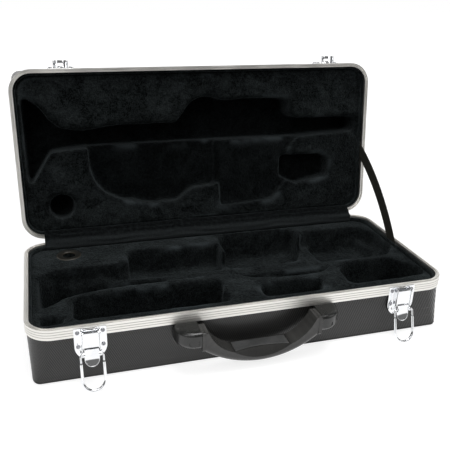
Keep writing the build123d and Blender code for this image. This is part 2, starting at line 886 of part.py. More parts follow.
# Recesses of the linings, drawn from the left end and from the front of the tray; the lid's
# are drawn from its hinge side, which is the front of the upturned tray.
base_recesses = [
    # Accessory boxes along the front
    ([(16, 29), (46, 29), (46, 42), (16, 42)], 40, 4),
    ([(57, 33), (267, 33), (250, 56), (262, 82), (232, 90), (100, 87), (57, 80)], 14, 8),
    ([(304, 31), (386, 31), (398, 60), (306, 63)], 20, 5),
    ([(431, 36), (549, 38), (549, 62), (522, 92), (452, 94), (434, 84)], 14, 8),
    # The instrument's bed, and the deeper wells in it
    ([(17, 62), (50, 92), (100, 103), (256, 108), (284, 103), (303, 88), (335, 81), (384, 77),
      (408, 81), (428, 97), (450, 103), (500, 105), (530, 111), (547, 130), (547, 178),
      (536, 210), (430, 212), (404, 170), (145, 172), (120, 166), (40, 166), (17, 150)], 44, 6),
    ([(17, 68), (45, 96), (108, 106), (108, 160), (40, 163), (17, 148)], 12, 8),
    ([(100, 108), (186, 108), (193, 116), (193, 142), (186, 150), (100, 150)], 26, 5),
    ([(145, 164), (285, 164), (285, 204), (145, 204)], 30, 4),
    ([(291, 164), (404, 164), (420, 190), (420, 231), (291, 231)], 24, 6),
    ([(286, 106), (306, 92), (384, 84), (406, 86), (424, 102), (444, 110), (444, 130),
      (286, 130)], 34, 6),
    ([(440, 152), (535, 152), (526, 209), (440, 209)], 30, 6),
]
mouthpiece_x = 62.0
mouthpiece_y = 214.0
mouthpiece_radius = 9.5
ring_radius = 17.5
ring_height = 2.5
mouthpiece_floor = 12.0
lid_recesses = [
    # Bell flare, then the long well of the instrument's body
    ([(14, 62), (25, 88), (50, 127), (75, 129), (100, 131), (450, 131), (546, 136), (546, 160),
      (436, 162), (426, 170), (424, 190), (412, 194), (350, 196), (316, 193), (298, 200),
      (278, 200), (262, 192), (240, 163), (150, 163), (95, 156), (66, 161), (52, 173),
      (38, 193), (22, 206), (14, 206)], 14, 5),
    ([(104, 138), (104, 100), (112, 76), (126, 60), (150, 48), (200, 38), (240, 41), (262, 58),
      (302, 60), (302, 138)], 34, 6),
    ([(308, 24), (396, 30), (424, 60), (424, 112), (450, 138), (294, 138), (294, 74), (308, 60)],
     44, 5),
    ([(416, 64), (442, 52), (498, 64), (496, 94), (480, 101), (416, 101)], 26, 6),
]
lid_hole_x = 60.0
lid_hole_v = 44.0
lid_hole_floor = 30.0
lid_hole_radius = 19.0


def make_base_lining():
    body = make_lining_block(base_height)
    for points, floor, radius in base_recesses:
        body -= pocket(points, floor, radius)
    body -= round_pocket(mouthpiece_x, mouthpiece_y, mouthpiece_floor, mouthpiece_radius)
    seat = base_height - lining_drop - ring_height + soft_gap
    body -= round_pocket(mouthpiece_x, mouthpiece_y, seat - soft_gap, ring_radius + soft_gap)
    relief = wall_layer(base_height, soft_gap, relief_depth)
    for zone in mount_zones(backing_margin):
        body -= relief & zone
    return body - strap_slit() - rivet_room(front_y + strap_base_y, rim_z - strap_drop)


def make_mouthpiece_ring():
    """A turned ring that holds the mouthpiece in its hole."""
    seat = base_height - lining_drop - ring_height + soft_gap
    ring = extrude(Circle(ring_radius) - Circle(mouthpiece_radius), amount=ring_height)
    ring = chamfer(ring.edges().group_by(Axis.Z)[-1], ring_height / 3)
    return Pos(*drawn_place(mouthpiece_x, mouthpiece_y), seat) * ring


def make_lid_lining():
    body = make_lining_block(lid_height)
    for points, floor, radius in lid_recesses:
        body -= pocket(points, floor, radius)
    body -= round_pocket(lid_hole_x, lid_hole_v, lid_hole_floor, lid_hole_radius)
    body = to_closed_lid(body) - close_lid(strap_slit())
    return body - rivet_room(front_y + strap_lid_y, lid_rim_z + strap_drop)


def lid_tray_z(z):
    """Tray height in the lid of a height z of the closed case."""
    return lid_rim_z + lid_height - z


def make_base_shell():
    shell = make_shell(base_height, base_flange)
    for place in latch_places().values():
        points = [(place + x, z) for x, z in latch_rivet_points()]
        shell = cut_front_holes(shell, points, rivet_radius + hole_gap)
    screws = [(side * x, handle_z) for side in (-1, 1) for x in screw_places()]
    shell = cut_front_holes(shell, screws, screw_radius + hole_gap)
    shell = cut_back_holes(shell, leaf_rivet_points(-1), rivet_radius + hole_gap)
    feet = [(side * foot_spacing / 2, base_height - foot_drop) for side in (-1, 1)]
    shell = cut_back_holes(shell, feet, foot_stud + hole_gap)
    hole = Pos(case_length / 2, front_y + strap_base_y, rim_z - strap_drop) * Rot(0, 90, 0)
    return shell - hole * Cylinder(rivet_radius + hole_gap, past_wall)


def make_base_valance():
    valance = make_valance(base_height, base_flange)
    valance += band(tongue_inset, tongue_inset + tongue_wall, base_height - 0.5,
                    base_height + tongue_height)
    for place in latch_places().values():
        points = [(place + x, z) for x, z in latch_rivet_points()]
        valance = cut_front_holes(valance, points, rivet_radius + hole_gap)
    valance = cut_back_holes(valance, leaf_rivet_points(-1), rivet_radius + hole_gap)
    return cut_butt_joint(valance, base_height)


def make_lid_shell():
    shell = to_closed_lid(make_shell(lid_height, lid_flange))
    for place in latch_places().values():
        points = [(place + x, z) for x, z in catch_rivet_points()]
        shell = cut_front_holes(shell, points, rivet_radius + hole_gap)
    shell = cut_back_holes(shell, leaf_rivet_points(1), rivet_radius + hole_gap)
    feet = [(side * foot_spacing / 2, lid_rim_z + foot_drop) for side in (-1, 1)]
    shell = cut_back_holes(shell, feet, foot_stud + hole_gap)
    hole = Pos(case_length / 2, front_y + strap_lid_y, lid_rim_z + strap_drop) * Rot(0, 90, 0)
    return shell - hole * Cylinder(rivet_radius + hole_gap, past_wall)


def make_lid_valance():
    valance = make_valance(lid_height, lid_flange)
    depth = tongue_height + tongue_gap
    groove_outer = tongue_inset - tongue_gap
    groove_inner = tongue_inset + tongue_wall + tongue_gap
    valance -= band(groove_outer, groove_inner, lid_height - depth, lid_height + 1)
    valance = to_closed_lid(valance)
    for place in latch_places().values():
        points = [(place + x, z) for x, z in catch_rivet_points()]
        valance = cut_front_holes(valance, points, rivet_radius + hole_gap)
    valance = cut_back_holes(valance, leaf_rivet_points(1), rivet_radius + hole_gap)
    return cut_butt_joint(valance, lid_rim_z)


def front_rivets(points, height, to_tray_z):
    """Rivets through a latch or catch plate, as long as the wall behind each one is deep."""
    rivets = []
    for x, z in points:
        length = sheet + inner_wall(height, to_tray_z(z))
        rivets.append(at_front(x, z, sheet) * rivet(length))
    return rivets


def make_lid_nodes():
    """Everything on the lid, placed closed."""
    nodes = {
        "lid_shell": make_lid_shell(),
        "lid_valance": make_lid_valance(),
        "lid_lining": make_lid_lining(),
        "strap_lid_rivet": strap_rivet(front_y + strap_lid_y, lid_rim_z + strap_drop),
    }
    catch = make_catch()
    rivets = front_rivets(catch_rivet_points(), lid_height, lid_tray_z)
    for name, place in latch_places().items():
        nodes[f"catch_{name}"] = Pos(place, 0, 0) * catch
        nodes[f"catch_{name}_rivets"] = Compound([Pos(place, 0, 0) * item for item in rivets])
    for name, place in hinge_places().items():
        nodes[f"hinge_{name}_lid_leaf"] = make_leaf(place, 1)
    length = sheet + shell_inset + shell_wall
    nodes["hinge_lid_rivets"] = Compound(
        [at_back(x, z, sheet) * rivet(length) for x, z in leaf_rivet_points(1)])
    closed = to_closed_lid(tray(lid_height, shell_inset, 0, lid_height, shell_edge_radius))
    nodes["lid_feet"] = Compound(make_feet(lid_height, lid_rim_z + foot_drop, closed))
    return nodes


def make_base_nodes():
    base_tray = tray(base_height, shell_inset, 0, base_height, shell_edge_radius)
    mount = make_mount()
    pin = make_handle_pin()
    length = sheet + shell_inset + shell_wall
    nodes = {
        "base_shell": make_base_shell(),
        "base_valance": make_base_valance(),
        "base_lining": make_base_lining(),
        "mouthpiece_ring": make_mouthpiece_ring(),
        "handle_left_mount": mirror(mount, about=Plane.YZ),
        "handle_right_mount": mount,
        "handle_left_pin": mirror(pin, about=Plane.YZ),
        "handle_right_pin": pin,
        "handle_backing_plates": Compound(make_backing_plates()),
        "handle_screws": Compound(make_handle_screws()),
        "handle_grip": make_grip(),
        "handle_pad": make_pad(),
        "hinge_base_rivets": Compound(
            [at_back(x, z, sheet) * rivet(length) for x, z in leaf_rivet_points(-1)]),
        "base_feet": Compound(make_feet(base_height, base_height - foot_drop, base_tray)),
        "stay_strap": make_strap(),
        "strap_base_rivet": strap_rivet(*strap_ends()[0]),
        "hinge_cover": make_hinge_cover(),
    }
    for name, place in hinge_places().items():
        nodes[f"hinge_{name}_base_leaf"] = make_leaf(place, -1)
        nodes[f"hinge_{name}_pin"] = make_hinge_pin(place)
    return nodes


def make_latch_nodes():
    nodes = {}
    pieces = {"plate": make_latch_plate(), "lever": make_lever(), "pin": make_latch_pin(),
              "bail": make_bail()}
    rivets = front_rivets(latch_rivet_points(), base_height, lambda z: z)
    for name, place in latch_places().items():
        for piece, solid in pieces.items():
            nodes[f"latch_{name}_{piece}"] = Pos(place, 0, 0) * solid
        nodes[f"latch_{name}_rivets"] = Compound([Pos(place, 0, 0) * item for item in rivets])
    return nodes


for node, solid in make_base_nodes().items():
    export_step(solid, f"parts/{node}.step")
for node, solid in make_latch_nodes().items():
    export_step(solid, f"parts/{node}.step")
for node, solid in make_lid_nodes().items():
    export_step(open_lid(solid), f"parts/{node}.step")
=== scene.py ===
import math

import bmesh
import bpy
import numpy as np
from mathutils import Matrix, Vector


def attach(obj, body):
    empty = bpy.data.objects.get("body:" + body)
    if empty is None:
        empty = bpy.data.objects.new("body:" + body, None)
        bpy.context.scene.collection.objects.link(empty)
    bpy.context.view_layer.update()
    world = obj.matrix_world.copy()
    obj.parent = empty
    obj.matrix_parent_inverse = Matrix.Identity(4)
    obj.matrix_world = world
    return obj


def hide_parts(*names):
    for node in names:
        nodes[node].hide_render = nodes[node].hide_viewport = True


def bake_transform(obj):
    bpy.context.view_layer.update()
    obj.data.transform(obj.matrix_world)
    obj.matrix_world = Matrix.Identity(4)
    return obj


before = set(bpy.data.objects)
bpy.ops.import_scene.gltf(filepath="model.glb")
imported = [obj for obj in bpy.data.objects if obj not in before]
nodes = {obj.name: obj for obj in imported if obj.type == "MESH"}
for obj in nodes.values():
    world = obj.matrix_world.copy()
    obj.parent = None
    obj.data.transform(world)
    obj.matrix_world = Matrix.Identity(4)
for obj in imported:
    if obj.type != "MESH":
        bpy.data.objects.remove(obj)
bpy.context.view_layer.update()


# The camera stands in front of the case, to its left and above it, and looks
# down into the open halves. Its lens takes in the whole case and little more.
camera_place = Vector((-0.2382, -0.7487, 0.4658))
camera_yaw = math.radians(17.147)
camera_pitch = math.radians(23.003)
camera_roll = math.radians(1.580)

forward = Vector(
    (
        math.sin(camera_yaw) * math.cos(camera_pitch),
        math.cos(camera_yaw) * math.cos(camera_pitch),
        -math.sin(camera_pitch),
    )
)
level = Vector((math.cos(camera_yaw), -math.sin(camera_yaw), 0))
upright = level.cross(forward)
across = math.cos(camera_roll) * level + math.sin(camera_roll) * upright
up = math.cos(camera_roll) * upright - math.sin(camera_roll) * level

camera = bpy.data.objects.new("camera", bpy.data.cameras.new("camera"))
camera.data.sensor_width = 36
camera.data.lens = 48.95
turn = Matrix((across, up, -forward)).transposed().to_4x4()
camera.matrix_world = Matrix.Translation(camera_place) @ turn
scene = bpy.context.scene
scene.collection.objects.link(camera)
scene.camera = camera
scene.view_settings.view_transform = "Standard"


# The floor is a white sweep under the case that keeps a soft shadow. Polished
# surfaces see it white near the case and behind, with painted shade under the
# case, and see the dim room further off.
def step(tree, kind, *values, settings=(), **named):
    """One shader node. Values go to its inputs by place or by name."""
    node = tree.nodes.new(kind)
    for name, value in dict(settings).items():
        setattr(node, name, value)
    inputs = list(enumerate(values))
    inputs += [(name.replace("_", " "), value) for name, value in named.items()]
    for name, value in inputs:
        if isinstance(value, bpy.types.NodeSocket):
            tree.links.new(value, node.inputs[name])
        else:
            node.inputs[name].default_value = value
    return node


def sums(tree, operation, *values):
    """The result of one math node."""
    settings = {"operation": operation}
    return step(tree, "ShaderNodeMath", *values, settings=settings).outputs[0]


def ramp(tree, value, start, end, low=0.0, high=1.0):
    """The value spread over a new range, smooth at both ends."""
    settings = {"interpolation_type": "SMOOTHSTEP"}
    node = step(tree, "ShaderNodeMapRange", value, start, end, low, high, settings=settings)
    return node.outputs[0]


def seen_white(tree):
    """1 on rays that show the white surroundings, 0 on rays that light the case."""
    path = step(tree, "ShaderNodeLightPath").outputs
    mirror = sums(tree, "MAXIMUM", path["Is Glossy Ray"], path["Is Transmission Ray"])
    return sums(tree, "MAXIMUM", path["Is Camera Ray"], mirror)


room_light = 0.30
ceiling_tone = 0.16
white = (1, 1, 1, 1)
world = bpy.data.worlds.new("white_room")
world.use_nodes = True
scene.world = world
tree = world.node_tree
tree.nodes.clear()
direction = step(tree, "ShaderNodeTexCoord").outputs["Generated"]
parts = step(tree, "ShaderNodeSeparateXYZ", direction).outputs
backward = ramp(tree, parts["Y"], 0.1, 0.5)
not_above = ramp(tree, parts["Z"], 0.4, 0.75, 1.0, 0.0)
backdrop = sums(tree, "MULTIPLY", backward, not_above)
walls = sums(tree, "MAXIMUM", backdrop, ceiling_tone)
seen = step(tree, "ShaderNodeLightPath").outputs["Is Camera Ray"]
walls = sums(tree, "MAXIMUM", walls, seen)
lit = step(tree, "ShaderNodeBackground", Color=white, Strength=room_light)
shown = step(tree, "ShaderNodeBackground", Color=white, Strength=walls)
mix = step(tree, "ShaderNodeMixShader", seen_white(tree), lit.outputs[0], shown.outputs[0])
out = step(tree, "ShaderNodeOutputWorld")
tree.links.new(mix.outputs[0], out.inputs["Surface"])

case_length = 0.560
case_depth = 0.2467
floor_half = 6
floor_level = -0.0002
floor_grey = (0.36, 0.36, 0.36, 1)
floor_glow = 0.80
glow_rise = (0.5, 2.2)
white_fall = (0.62, 1.25)
behind_case = (0.0, 0.5)
beside_case = (-0.003, 0.004)
painted_shade_under_case = 0.05
floor_mesh = bpy.data.meshes.new("floor")
corners = [(-1, -1), (1, -1), (1, 1), (-1, 1)]
floor_mesh.from_pydata(
    [(x * floor_half, y * floor_half, floor_level) for x, y in corners], [], [(0, 1, 2, 3)]
)
floor = bpy.data.objects.new("floor", floor_mesh)
scene.collection.objects.link(floor)
floor_paper = bpy.data.materials.new("floor_paper")
floor_paper.use_nodes = True
tree = floor_paper.node_tree
surface = tree.nodes["Principled BSDF"]
surface.inputs["Base Color"].default_value = floor_grey
surface.inputs["Roughness"].default_value = 0.9
surface.inputs["Specular IOR Level"].default_value = 0.0
surface.inputs["Emission Color"].default_value = white
place = step(tree, "ShaderNodeTexCoord").outputs["Object"]
spread = step(tree, "ShaderNodeVectorMath", place, settings={"operation": "LENGTH"})
spread = spread.outputs["Value"]
far = ramp(tree, spread, *glow_rise, floor_glow, 1.0)
sweep = ramp(tree, spread, *white_fall, 1.0, ceiling_tone)
behind = step(tree, "ShaderNodeSeparateXYZ", place).outputs["Y"]
sweep = sums(tree, "MAXIMUM", sweep, ramp(tree, behind, *behind_case))
reach = step(tree, "ShaderNodeVectorMath", place, settings={"operation": "ABSOLUTE"})
reach = step(tree, "ShaderNodeSeparateXYZ", reach.outputs[0]).outputs
beside = sums(tree, "SUBTRACT", reach["X"], case_length / 2)
before = sums(tree, "SUBTRACT", reach["Y"], case_depth / 2)
beside = sums(tree, "MAXIMUM", beside, before)
# Painted shade: the glow that polished surfaces see is dimmed under the case and close beside
# it.
sweep = sums(tree, "MULTIPLY", sweep, ramp(tree, beside, *beside_case, painted_shade_under_case, 1.0))
seen = step(tree, "ShaderNodeLightPath").outputs["Is Camera Ray"]
sweep = sums(tree, "MAXIMUM", sweep, seen)
glow = sums(tree, "MULTIPLY", seen_white(tree), far)
glow = sums(tree, "MULTIPLY", glow, sweep)
tree.links.new(glow, surface.inputs["Emission Strength"])
floor_mesh.materials.append(floor_paper)


lamp_aim = Vector((0, 0, 0.1))


def lamp(name, place, size, power):
    """A square soft lamp that faces the case."""
    light = bpy.data.lights.new(name, "AREA")
    light.size = size
    light.energy = power
    body = bpy.data.objects.new(name, light)
    body.location = place
    body.rotation_euler = (lamp_aim - body.location).to_track_quat("-Z", "Y").to_euler()
    scene.collection.objects.link(body)


lamp("key_lamp", (-0.9, -1.5, 2.0), 1.2, 12.5)
lamp("top_lamp", (0.2, -0.25, 2.3), 1.3, 33)
lamp("side_lamp", (1.9, -0.9, 1.2), 1.2, 5)
lamp("low_lamp", (-1.3, -0.9, 1.0), 0.5, 2.5)


# Both halves of the shell are pressed from charcoal sheet with a pebbled skin.
# Fine slanting lines run over it, glossy on their crests, and its walls turn into
# the flat side over a rounded edge.
def effect(name, inputs, outputs):
    """A shader group for an effect that several materials share."""
    group = bpy.data.node_groups.new(name, "ShaderNodeTree")
    for way, sockets in (("INPUT", inputs), ("OUTPUT", outputs)):
        for label, kind in sockets.items():
            kind = "NodeSocket" + kind
            group.interface.new_socket(label, in_out=way, socket_type=kind)
    given = group.nodes.new("NodeGroupInput").outputs
    return group, given, group.nodes.new("NodeGroupOutput").inputs


def placed(tree, group, **values):
    """The outputs of a shared effect, placed in a material with its own values."""
    settings = {"node_tree": group}
    return step(tree, "ShaderNodeGroup", settings=settings, **values).outputs


def finish(name, roughness, metallic=0.0, specular=0.5):
    """A new material with plain values on its surface."""
    material = bpy.data.materials.new(name)
    material.use_nodes = True
    tree = material.node_tree
    surface = tree.nodes["Principled BSDF"]
    surface.inputs["Roughness"].default_value = roughness
    surface.inputs["Metallic"].default_value = metallic
    surface.inputs["Specular IOR Level"].default_value = specular
    return material, tree, surface.inputs


def own_place(tree):
    """The place of a point on the object it belongs to, in metres."""
    return step(tree, "ShaderNodeTexCoord").outputs["Object"]


def tone(tree, share, first, second):
    """A colour between two, by a share from 0 to 1."""
    mix = step(tree, "ShaderNodeMix", share, settings={"data_type": "RGBA"})
    for place, colour in ((6, first), (7, second)):
        if isinstance(colour, bpy.types.NodeSocket):
            tree.links.new(colour, mix.inputs[place])
        else:
            mix.inputs[place].default_value = (*colour, 1)
    return mix.outputs[2]


def relief(tree, inputs, height, depth, strength=1.0):
    """Raises the surface by a height from 0 to 1, as deep as this at most."""
    bump = step(tree, "ShaderNodeBump", Height=height, Distance=depth, Strength=strength)
    tree.links.new(bump.outputs["Normal"], inputs["Normal"])


speckle, given, result = effect(
    "speckle",
    {"Place": "Vector", "Scale": "Float", "Detail": "Float", "Low": "Float", "High": "Float"},
    {"Mask": "Float"},
)
noise = step(speckle, "ShaderNodeTexNoise", Vector=given["Place"], Scale=given["Scale"])
speckle.links.new(given["Detail"], noise.inputs["Detail"])
mask = ramp(speckle, noise.outputs["Fac"], given["Low"], given["High"])
speckle.links.new(mask, result["Mask"])

pebbles, given, result = effect(
    "pebbles", {"Place": "Vector", "Scale": "Float"}, {"Height": "Float"}
)
cells = step(
    pebbles,
    "ShaderNodeTexVoronoi",
    Vector=given["Place"],
    Scale=given["Scale"],
    Smoothness=0.4,
    settings={"feature": "SMOOTH_F1"},
)
rounded = ramp(pebbles, cells.outputs["Distance"], 0.0, 0.7, 1.0, 0.0)
fine = step(pebbles, "ShaderNodeTexNoise", Vector=given["Place"], Scale=2600)
fine = sums(pebbles, "MULTIPLY", fine.outputs["Fac"], 0.35)
pebbles.links.new(sums(pebbles, "ADD", rounded, fine), result["Height"])

handling, given, result = effect(
    "handling", {"Place": "Vector"}, {"Scuffs": "Float", "Dust": "Float"}
)
stretched = step(
    handling,
    "ShaderNodeMapping",
    Vector=given["Place"],
    Rotation=(0.3, 0.5, 0.9),
    Scale=(18, 620, 620),
)
stretched = stretched.outputs[0]
scratch = step(handling, "ShaderNodeTexNoise", Vector=stretched, Scale=1.0, Detail=3.0)
scratch = ramp(handling, scratch.outputs["Fac"], 0.62, 0.74)
point = given["Place"]
zones = placed(handling, speckle, Place=point, Scale=22.0, Detail=3.0, Low=0.5, High=0.7)
handling.links.new(sums(handling, "MULTIPLY", scratch, zones["Mask"]), result["Scuffs"])
dust = placed(handling, speckle, Place=point, Scale=1400.0, Detail=2.0, Low=0.6, High=0.8)
handling.links.new(dust["Mask"], result["Dust"])

line_scale = 272
line_slant = (0.915, -0.915, 0.403)
shell_dark = (0.0008, 0.0008, 0.0008)
shell_light = (0.0310, 0.0307, 0.0295)
scuff_tone = (0.11, 0.108, 0.1)
dust_tone = (0.16, 0.155, 0.145)
black_shell, tree, inputs = finish("black_shell", 0.4, specular=0.1)
inputs["Coat Roughness"].default_value = 0.26
inputs["Coat IOR"].default_value = 1.7
place = own_place(tree)
slanted = step(
    tree, "ShaderNodeVectorMath", place, line_slant, settings={"operation": "MULTIPLY"}
)
lines = step(
    tree,
    "ShaderNodeTexWave",
    Vector=slanted.outputs[0],
    Scale=line_scale,
    Distortion=1.2,
    Detail=2.0,
    Detail_Scale=0.6,
    settings={"bands_direction": "DIAGONAL"},
).outputs["Fac"]
grain = placed(tree, pebbles, Place=place, Scale=820.0)["Height"]
marks = placed(tree, handling, Place=place)
patches = placed(tree, speckle, Place=place, Scale=26.0, Detail=4.0, Low=0.35, High=0.68)
patches = patches["Mask"]
share = sums(tree, "MULTIPLY", lines, 0.9)
share = sums(tree, "MULTIPLY_ADD", patches, 0.05, share)
share = sums(tree, "MULTIPLY_ADD", grain, 0.05, share)
colour = tone(tree, share, shell_dark, shell_light)
tree.links.new(share, inputs["Coat Weight"])
colour = tone(tree, sums(tree, "MULTIPLY", marks["Scuffs"], 0.35), colour, scuff_tone)
colour = tone(tree, sums(tree, "MULTIPLY", marks["Dust"], 0.16), colour, dust_tone)
tree.links.new(colour, inputs["Base Color"])
tree.links.new(ramp(tree, patches, 0.0, 1.0, 0.36, 0.46), inputs["Roughness"])
height = sums(tree, "MULTIPLY_ADD", lines, 0.9, sums(tree, "MULTIPLY", grain, 0.35))
relief(tree, inputs, height, 0.0003, 0.8)

corner_radius = 0.032
base_height = 0.0763
lid_height = 0.066
lid_rim = 0.0767
lid_opening = math.radians(-97.5)
hinge = Vector((0, 0.12785, 0.0765))
shell_inset = 0.0015
shell_wall = 0.0026
shell_draft = 0.002
shell_band = 0.016
low_corner = 0.013
corner_ease = 0.85
corner_steps = 12
low_edge = 0.005
edge_steps = 6
wall_steps = 8
rim_gap = 0.0001
wall_run = 0.02

base_up = Matrix.Identity(4)
opened = (
    Matrix.Translation(hinge)
    @ Matrix.Rotation(lid_opening, 4, "X")
    @ Matrix.Translation(-hinge)
)
lid_up = (
    opened
    @ Matrix.Translation((0, 0, lid_rim + lid_height))
    @ Matrix.Rotation(math.pi, 4, "X")
)


def new_piece(name, mesh):
    """An object of this mesh, with smooth faces."""
    mesh.polygons.foreach_set("use_smooth", [True] * len(mesh.polygons))
    piece = bpy.data.objects.new(name, mesh)
    scene.collection.objects.link(piece)
    return piece


def rim_outline(inset, run=0.006, corner=corner_radius):
    """Points round a half of the case, this far in from its wall, with the way in."""
    x, y = case_length / 2 - corner, case_depth / 2 - corner
    centres = [(x, y), (-x, y), (-x, -y), (x, -y)]
    spread_x, spread_y = case_length - 2 * corner_radius, case_depth - 2 * corner_radius
    runs = [int(spread_x / run), int(spread_y / run)] * 2
    outline = []
    for turn, (cx, cy) in enumerate(centres):
        for part in range(corner_steps + 1):
            angle = (turn + part / corner_steps) * math.pi / 2
            out = Vector((math.cos(angle), math.sin(angle)))
            outline.append((Vector((cx, cy)) + out * (corner - inset), -out))
        nx, ny = centres[(turn + 1) % 4]
        gap = Vector((nx - cx, ny - cy))
        start = outline[-1]
        for part in range(1, runs[turn]):
            outline.append((start[0] + gap * (part / runs[turn]), start[1]))
    return outline


def skin(name, rings, closed=False, measures=None):
    """A smooth mesh over rings of points. Closed rings meet the first one again."""
    count = len(rings[0])
    places = [p for ring in rings for p in ring]
    faces = []
    spans = len(rings) if closed else len(rings) - 1
    for row in range(spans):
        here, there = row * count, (row + 1) % len(rings) * count
        for part in range(count):
            after = (part + 1) % count
            faces.append((here + part, here + after, there + after, there + part))
    if not closed:
        faces.append(tuple(range(count))[::-1])
        faces.append(tuple(range(len(places) - count, len(places))))
    mesh = bpy.data.meshes.new(name)
    mesh.from_pydata(places, [], faces)
    form = bmesh.new()
    form.from_mesh(mesh)
    bmesh.ops.recalc_face_normals(form, faces=form.faces)
    form.to_mesh(mesh)
    form.free()
    if measures:
        flat = mesh.uv_layers.new(name="flat")
        for loop in mesh.loops:
            flat.data[loop.index].uv = measures[loop.vertex_index]
    return new_piece(name, mesh)


def pressed_shell(node, body, up, height, flange):
    """One half's shell: round corners at the rim that tighten towards the bottom."""
    shoulder = height - shell_band
    top = height - flange - rim_gap
    rings = []

    def ring(z, inset):
        share = min(max(z / shoulder, 0), 1)
        corner = low_corner + (corner_radius - low_corner) * share ** corner_ease
        inset += shell_inset + shell_draft * (1 - share)
        outline = rim_outline(inset, wall_run, corner)
        rings.append([up @ Vector((*place, z)) for place, _ in outline])

    for part in range(edge_steps + 1):
        angle = math.pi / 2 * part / edge_steps
        ring(low_edge * (1 - math.sin(angle)), low_edge * (1 - math.cos(angle)))
    rings.reverse()
    rise = (shoulder - low_edge) / wall_steps
    outer = [low_edge + rise * part for part in range(1, wall_steps + 1)]
    for z in [*outer, top]:
        ring(z, 0)
    for z in [top, *outer[::-1]]:
        ring(z, shell_wall)
    inner_edge = low_edge - shell_wall
    for part in range(edge_steps + 1):
        angle = math.pi / 2 * part / edge_steps
        ring(low_edge - inner_edge * math.sin(angle), low_edge - inner_edge * math.cos(angle))
    shell = skin(node + "_pressed", rings)
    for edge in shell.data.edges:
        one, two = (shell.data.vertices[n].co for n in edge.vertices)
        one, two = (up.inverted() @ p for p in (one, two))
        if one.z == two.z == top:
            edge.use_edge_sharp = True
    shell.data.materials.append(black_shell)
    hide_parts(node)
    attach(shell, body)


pressed_shell("base_shell", "base", base_up, base_height, 0.0014)
pressed_shell("lid_shell", "lid", lid_up, lid_height, 0.0034)


# Each rim is an aluminium channel, rolled with three fine lines round its face
# and satin brushed along its length, with a warm anodised tone.
brushing, given, result = effect(
    "brushing", {"Place": "Vector", "Across": "Vector"}, {"Streaks": "Float"}
)
part_way = step(
    brushing, "ShaderNodeVectorMath", given["Place"], given["Across"],
    settings={"operation": "DOT_PRODUCT"},
).outputs["Value"]
sideways = step(
    brushing, "ShaderNodeVectorMath", given["Across"], settings={"operation": "SCALE"},
    Scale=part_way,
).outputs[0]
lengthways = step(
    brushing, "ShaderNodeVectorMath", given["Place"], sideways,
    settings={"operation": "SUBTRACT"},
).outputs[0]
lengthways = step(
    brushing, "ShaderNodeVectorMath", lengthways, settings={"operation": "SCALE"}, Scale=0.012
).outputs[0]
streaked = step(brushing, "ShaderNodeVectorMath", sideways, lengthways).outputs[0]
streaks = step(brushing, "ShaderNodeTexNoise", Vector=streaked, Scale=2400.0, Detail=3.0)
brushing.links.new(ramp(brushing, streaks.outputs["Fac"], 0.3, 0.7), result["Streaks"])

groove_pitch = 0.0033
groove_half = 0.0004
satin_dark, satin_light = (0.80, 0.785, 0.745), (0.93, 0.915, 0.875)
# The colour of the painted shade in the grooves.
groove_shade_tone = (0.16, 0.15, 0.14)
rubbed_tone = (0.5, 0.48, 0.45)
lid_across = Matrix.Rotation(lid_opening, 3, "X") @ Vector((0, 0, 1))


def make_aluminium(name, across, face_middle):
    """Anodised aluminium, brushed at right angles to this direction."""
    material, tree, inputs = finish(name, 0.34, metallic=1.0)
    place = own_place(tree)
    level = step(
        tree, "ShaderNodeVectorMath", place, across, settings={"operation": "DOT_PRODUCT"}
    ).outputs["Value"]
    level = sums(tree, "SUBTRACT", level, face_middle)
    # Painted shade darkens the three grooves on the rim's face.
    off_line = sums(tree, "PINGPONG", level, groove_pitch / 2)
    in_groove = ramp(tree, off_line, groove_half * 0.6, groove_half * 1.3, 1.0, 0.0)
    on_face = sums(tree, "LESS_THAN", sums(tree, "ABSOLUTE", level), groove_pitch * 1.4)
    groove_shade = sums(tree, "MULTIPLY", in_groove, on_face)
    streaks = placed(tree, brushing, Place=place, Across=across)["Streaks"]
    clouds = placed(tree, speckle, Place=place, Scale=9.0, Detail=3.0, Low=0.3, High=0.7)
    marks = placed(tree, handling, Place=place)
    share = sums(tree, "MULTIPLY", streaks, 0.6)
    share = sums(tree, "MULTIPLY_ADD", clouds["Mask"], 0.4, share)
    colour = tone(tree, share, satin_dark, satin_light)
    colour = tone(tree, sums(tree, "MULTIPLY", groove_shade, 0.5), colour, groove_shade_tone)
    colour = tone(tree, sums(tree, "MULTIPLY", marks["Scuffs"], 0.4), colour, rubbed_tone)
    tree.links.new(colour, inputs["Base Color"])
    tree.links.new(ramp(tree, streaks, 0.0, 1.0, 0.36, 0.5), inputs["Roughness"])
    relief(tree, inputs, streaks, 0.00003, 0.6)
    return material


def finished(material, *names):
    """Gives the material to CAD nodes."""
    for name in names:
        for place in nodes[name].material_slots:
            place.material = material


valance_height = 0.0135
base_middle = base_height - valance_height / 2
lid_middle = (opened @ Vector((0, 0, lid_rim + valance_height / 2))).dot(lid_across)
base_aluminium = make_aluminium("aluminium_frame", Vector((0, 0, 1)), base_middle)
lid_aluminium = make_aluminium("aluminium_frame_lid", lid_across, lid_middle)
finished(base_aluminium, "base_valance")
finished(lid_aluminium, "lid_valance")


# Each half has a block of padded board under navy-black plush, with wells and
# boxes sunk in it. The plush is drawn over the edges, which it rounds softly.
block_inset = 0.0092
block_foot = 0.0005
weld = 0.000002
pile_size = 0.0022
pile_passes = 22
pile_free = (0.0105, 0.0145)
sharp_bend = 0.09
bend_passes = 4
lump_height = 0.00035
pucker_height = 0.0006
well_depth = (0.005, 0.026)
ring_place = Vector((-0.218, 0.09065))
ring_free = (0.0195, 0.0245)
seed = np.random.default_rng(7)


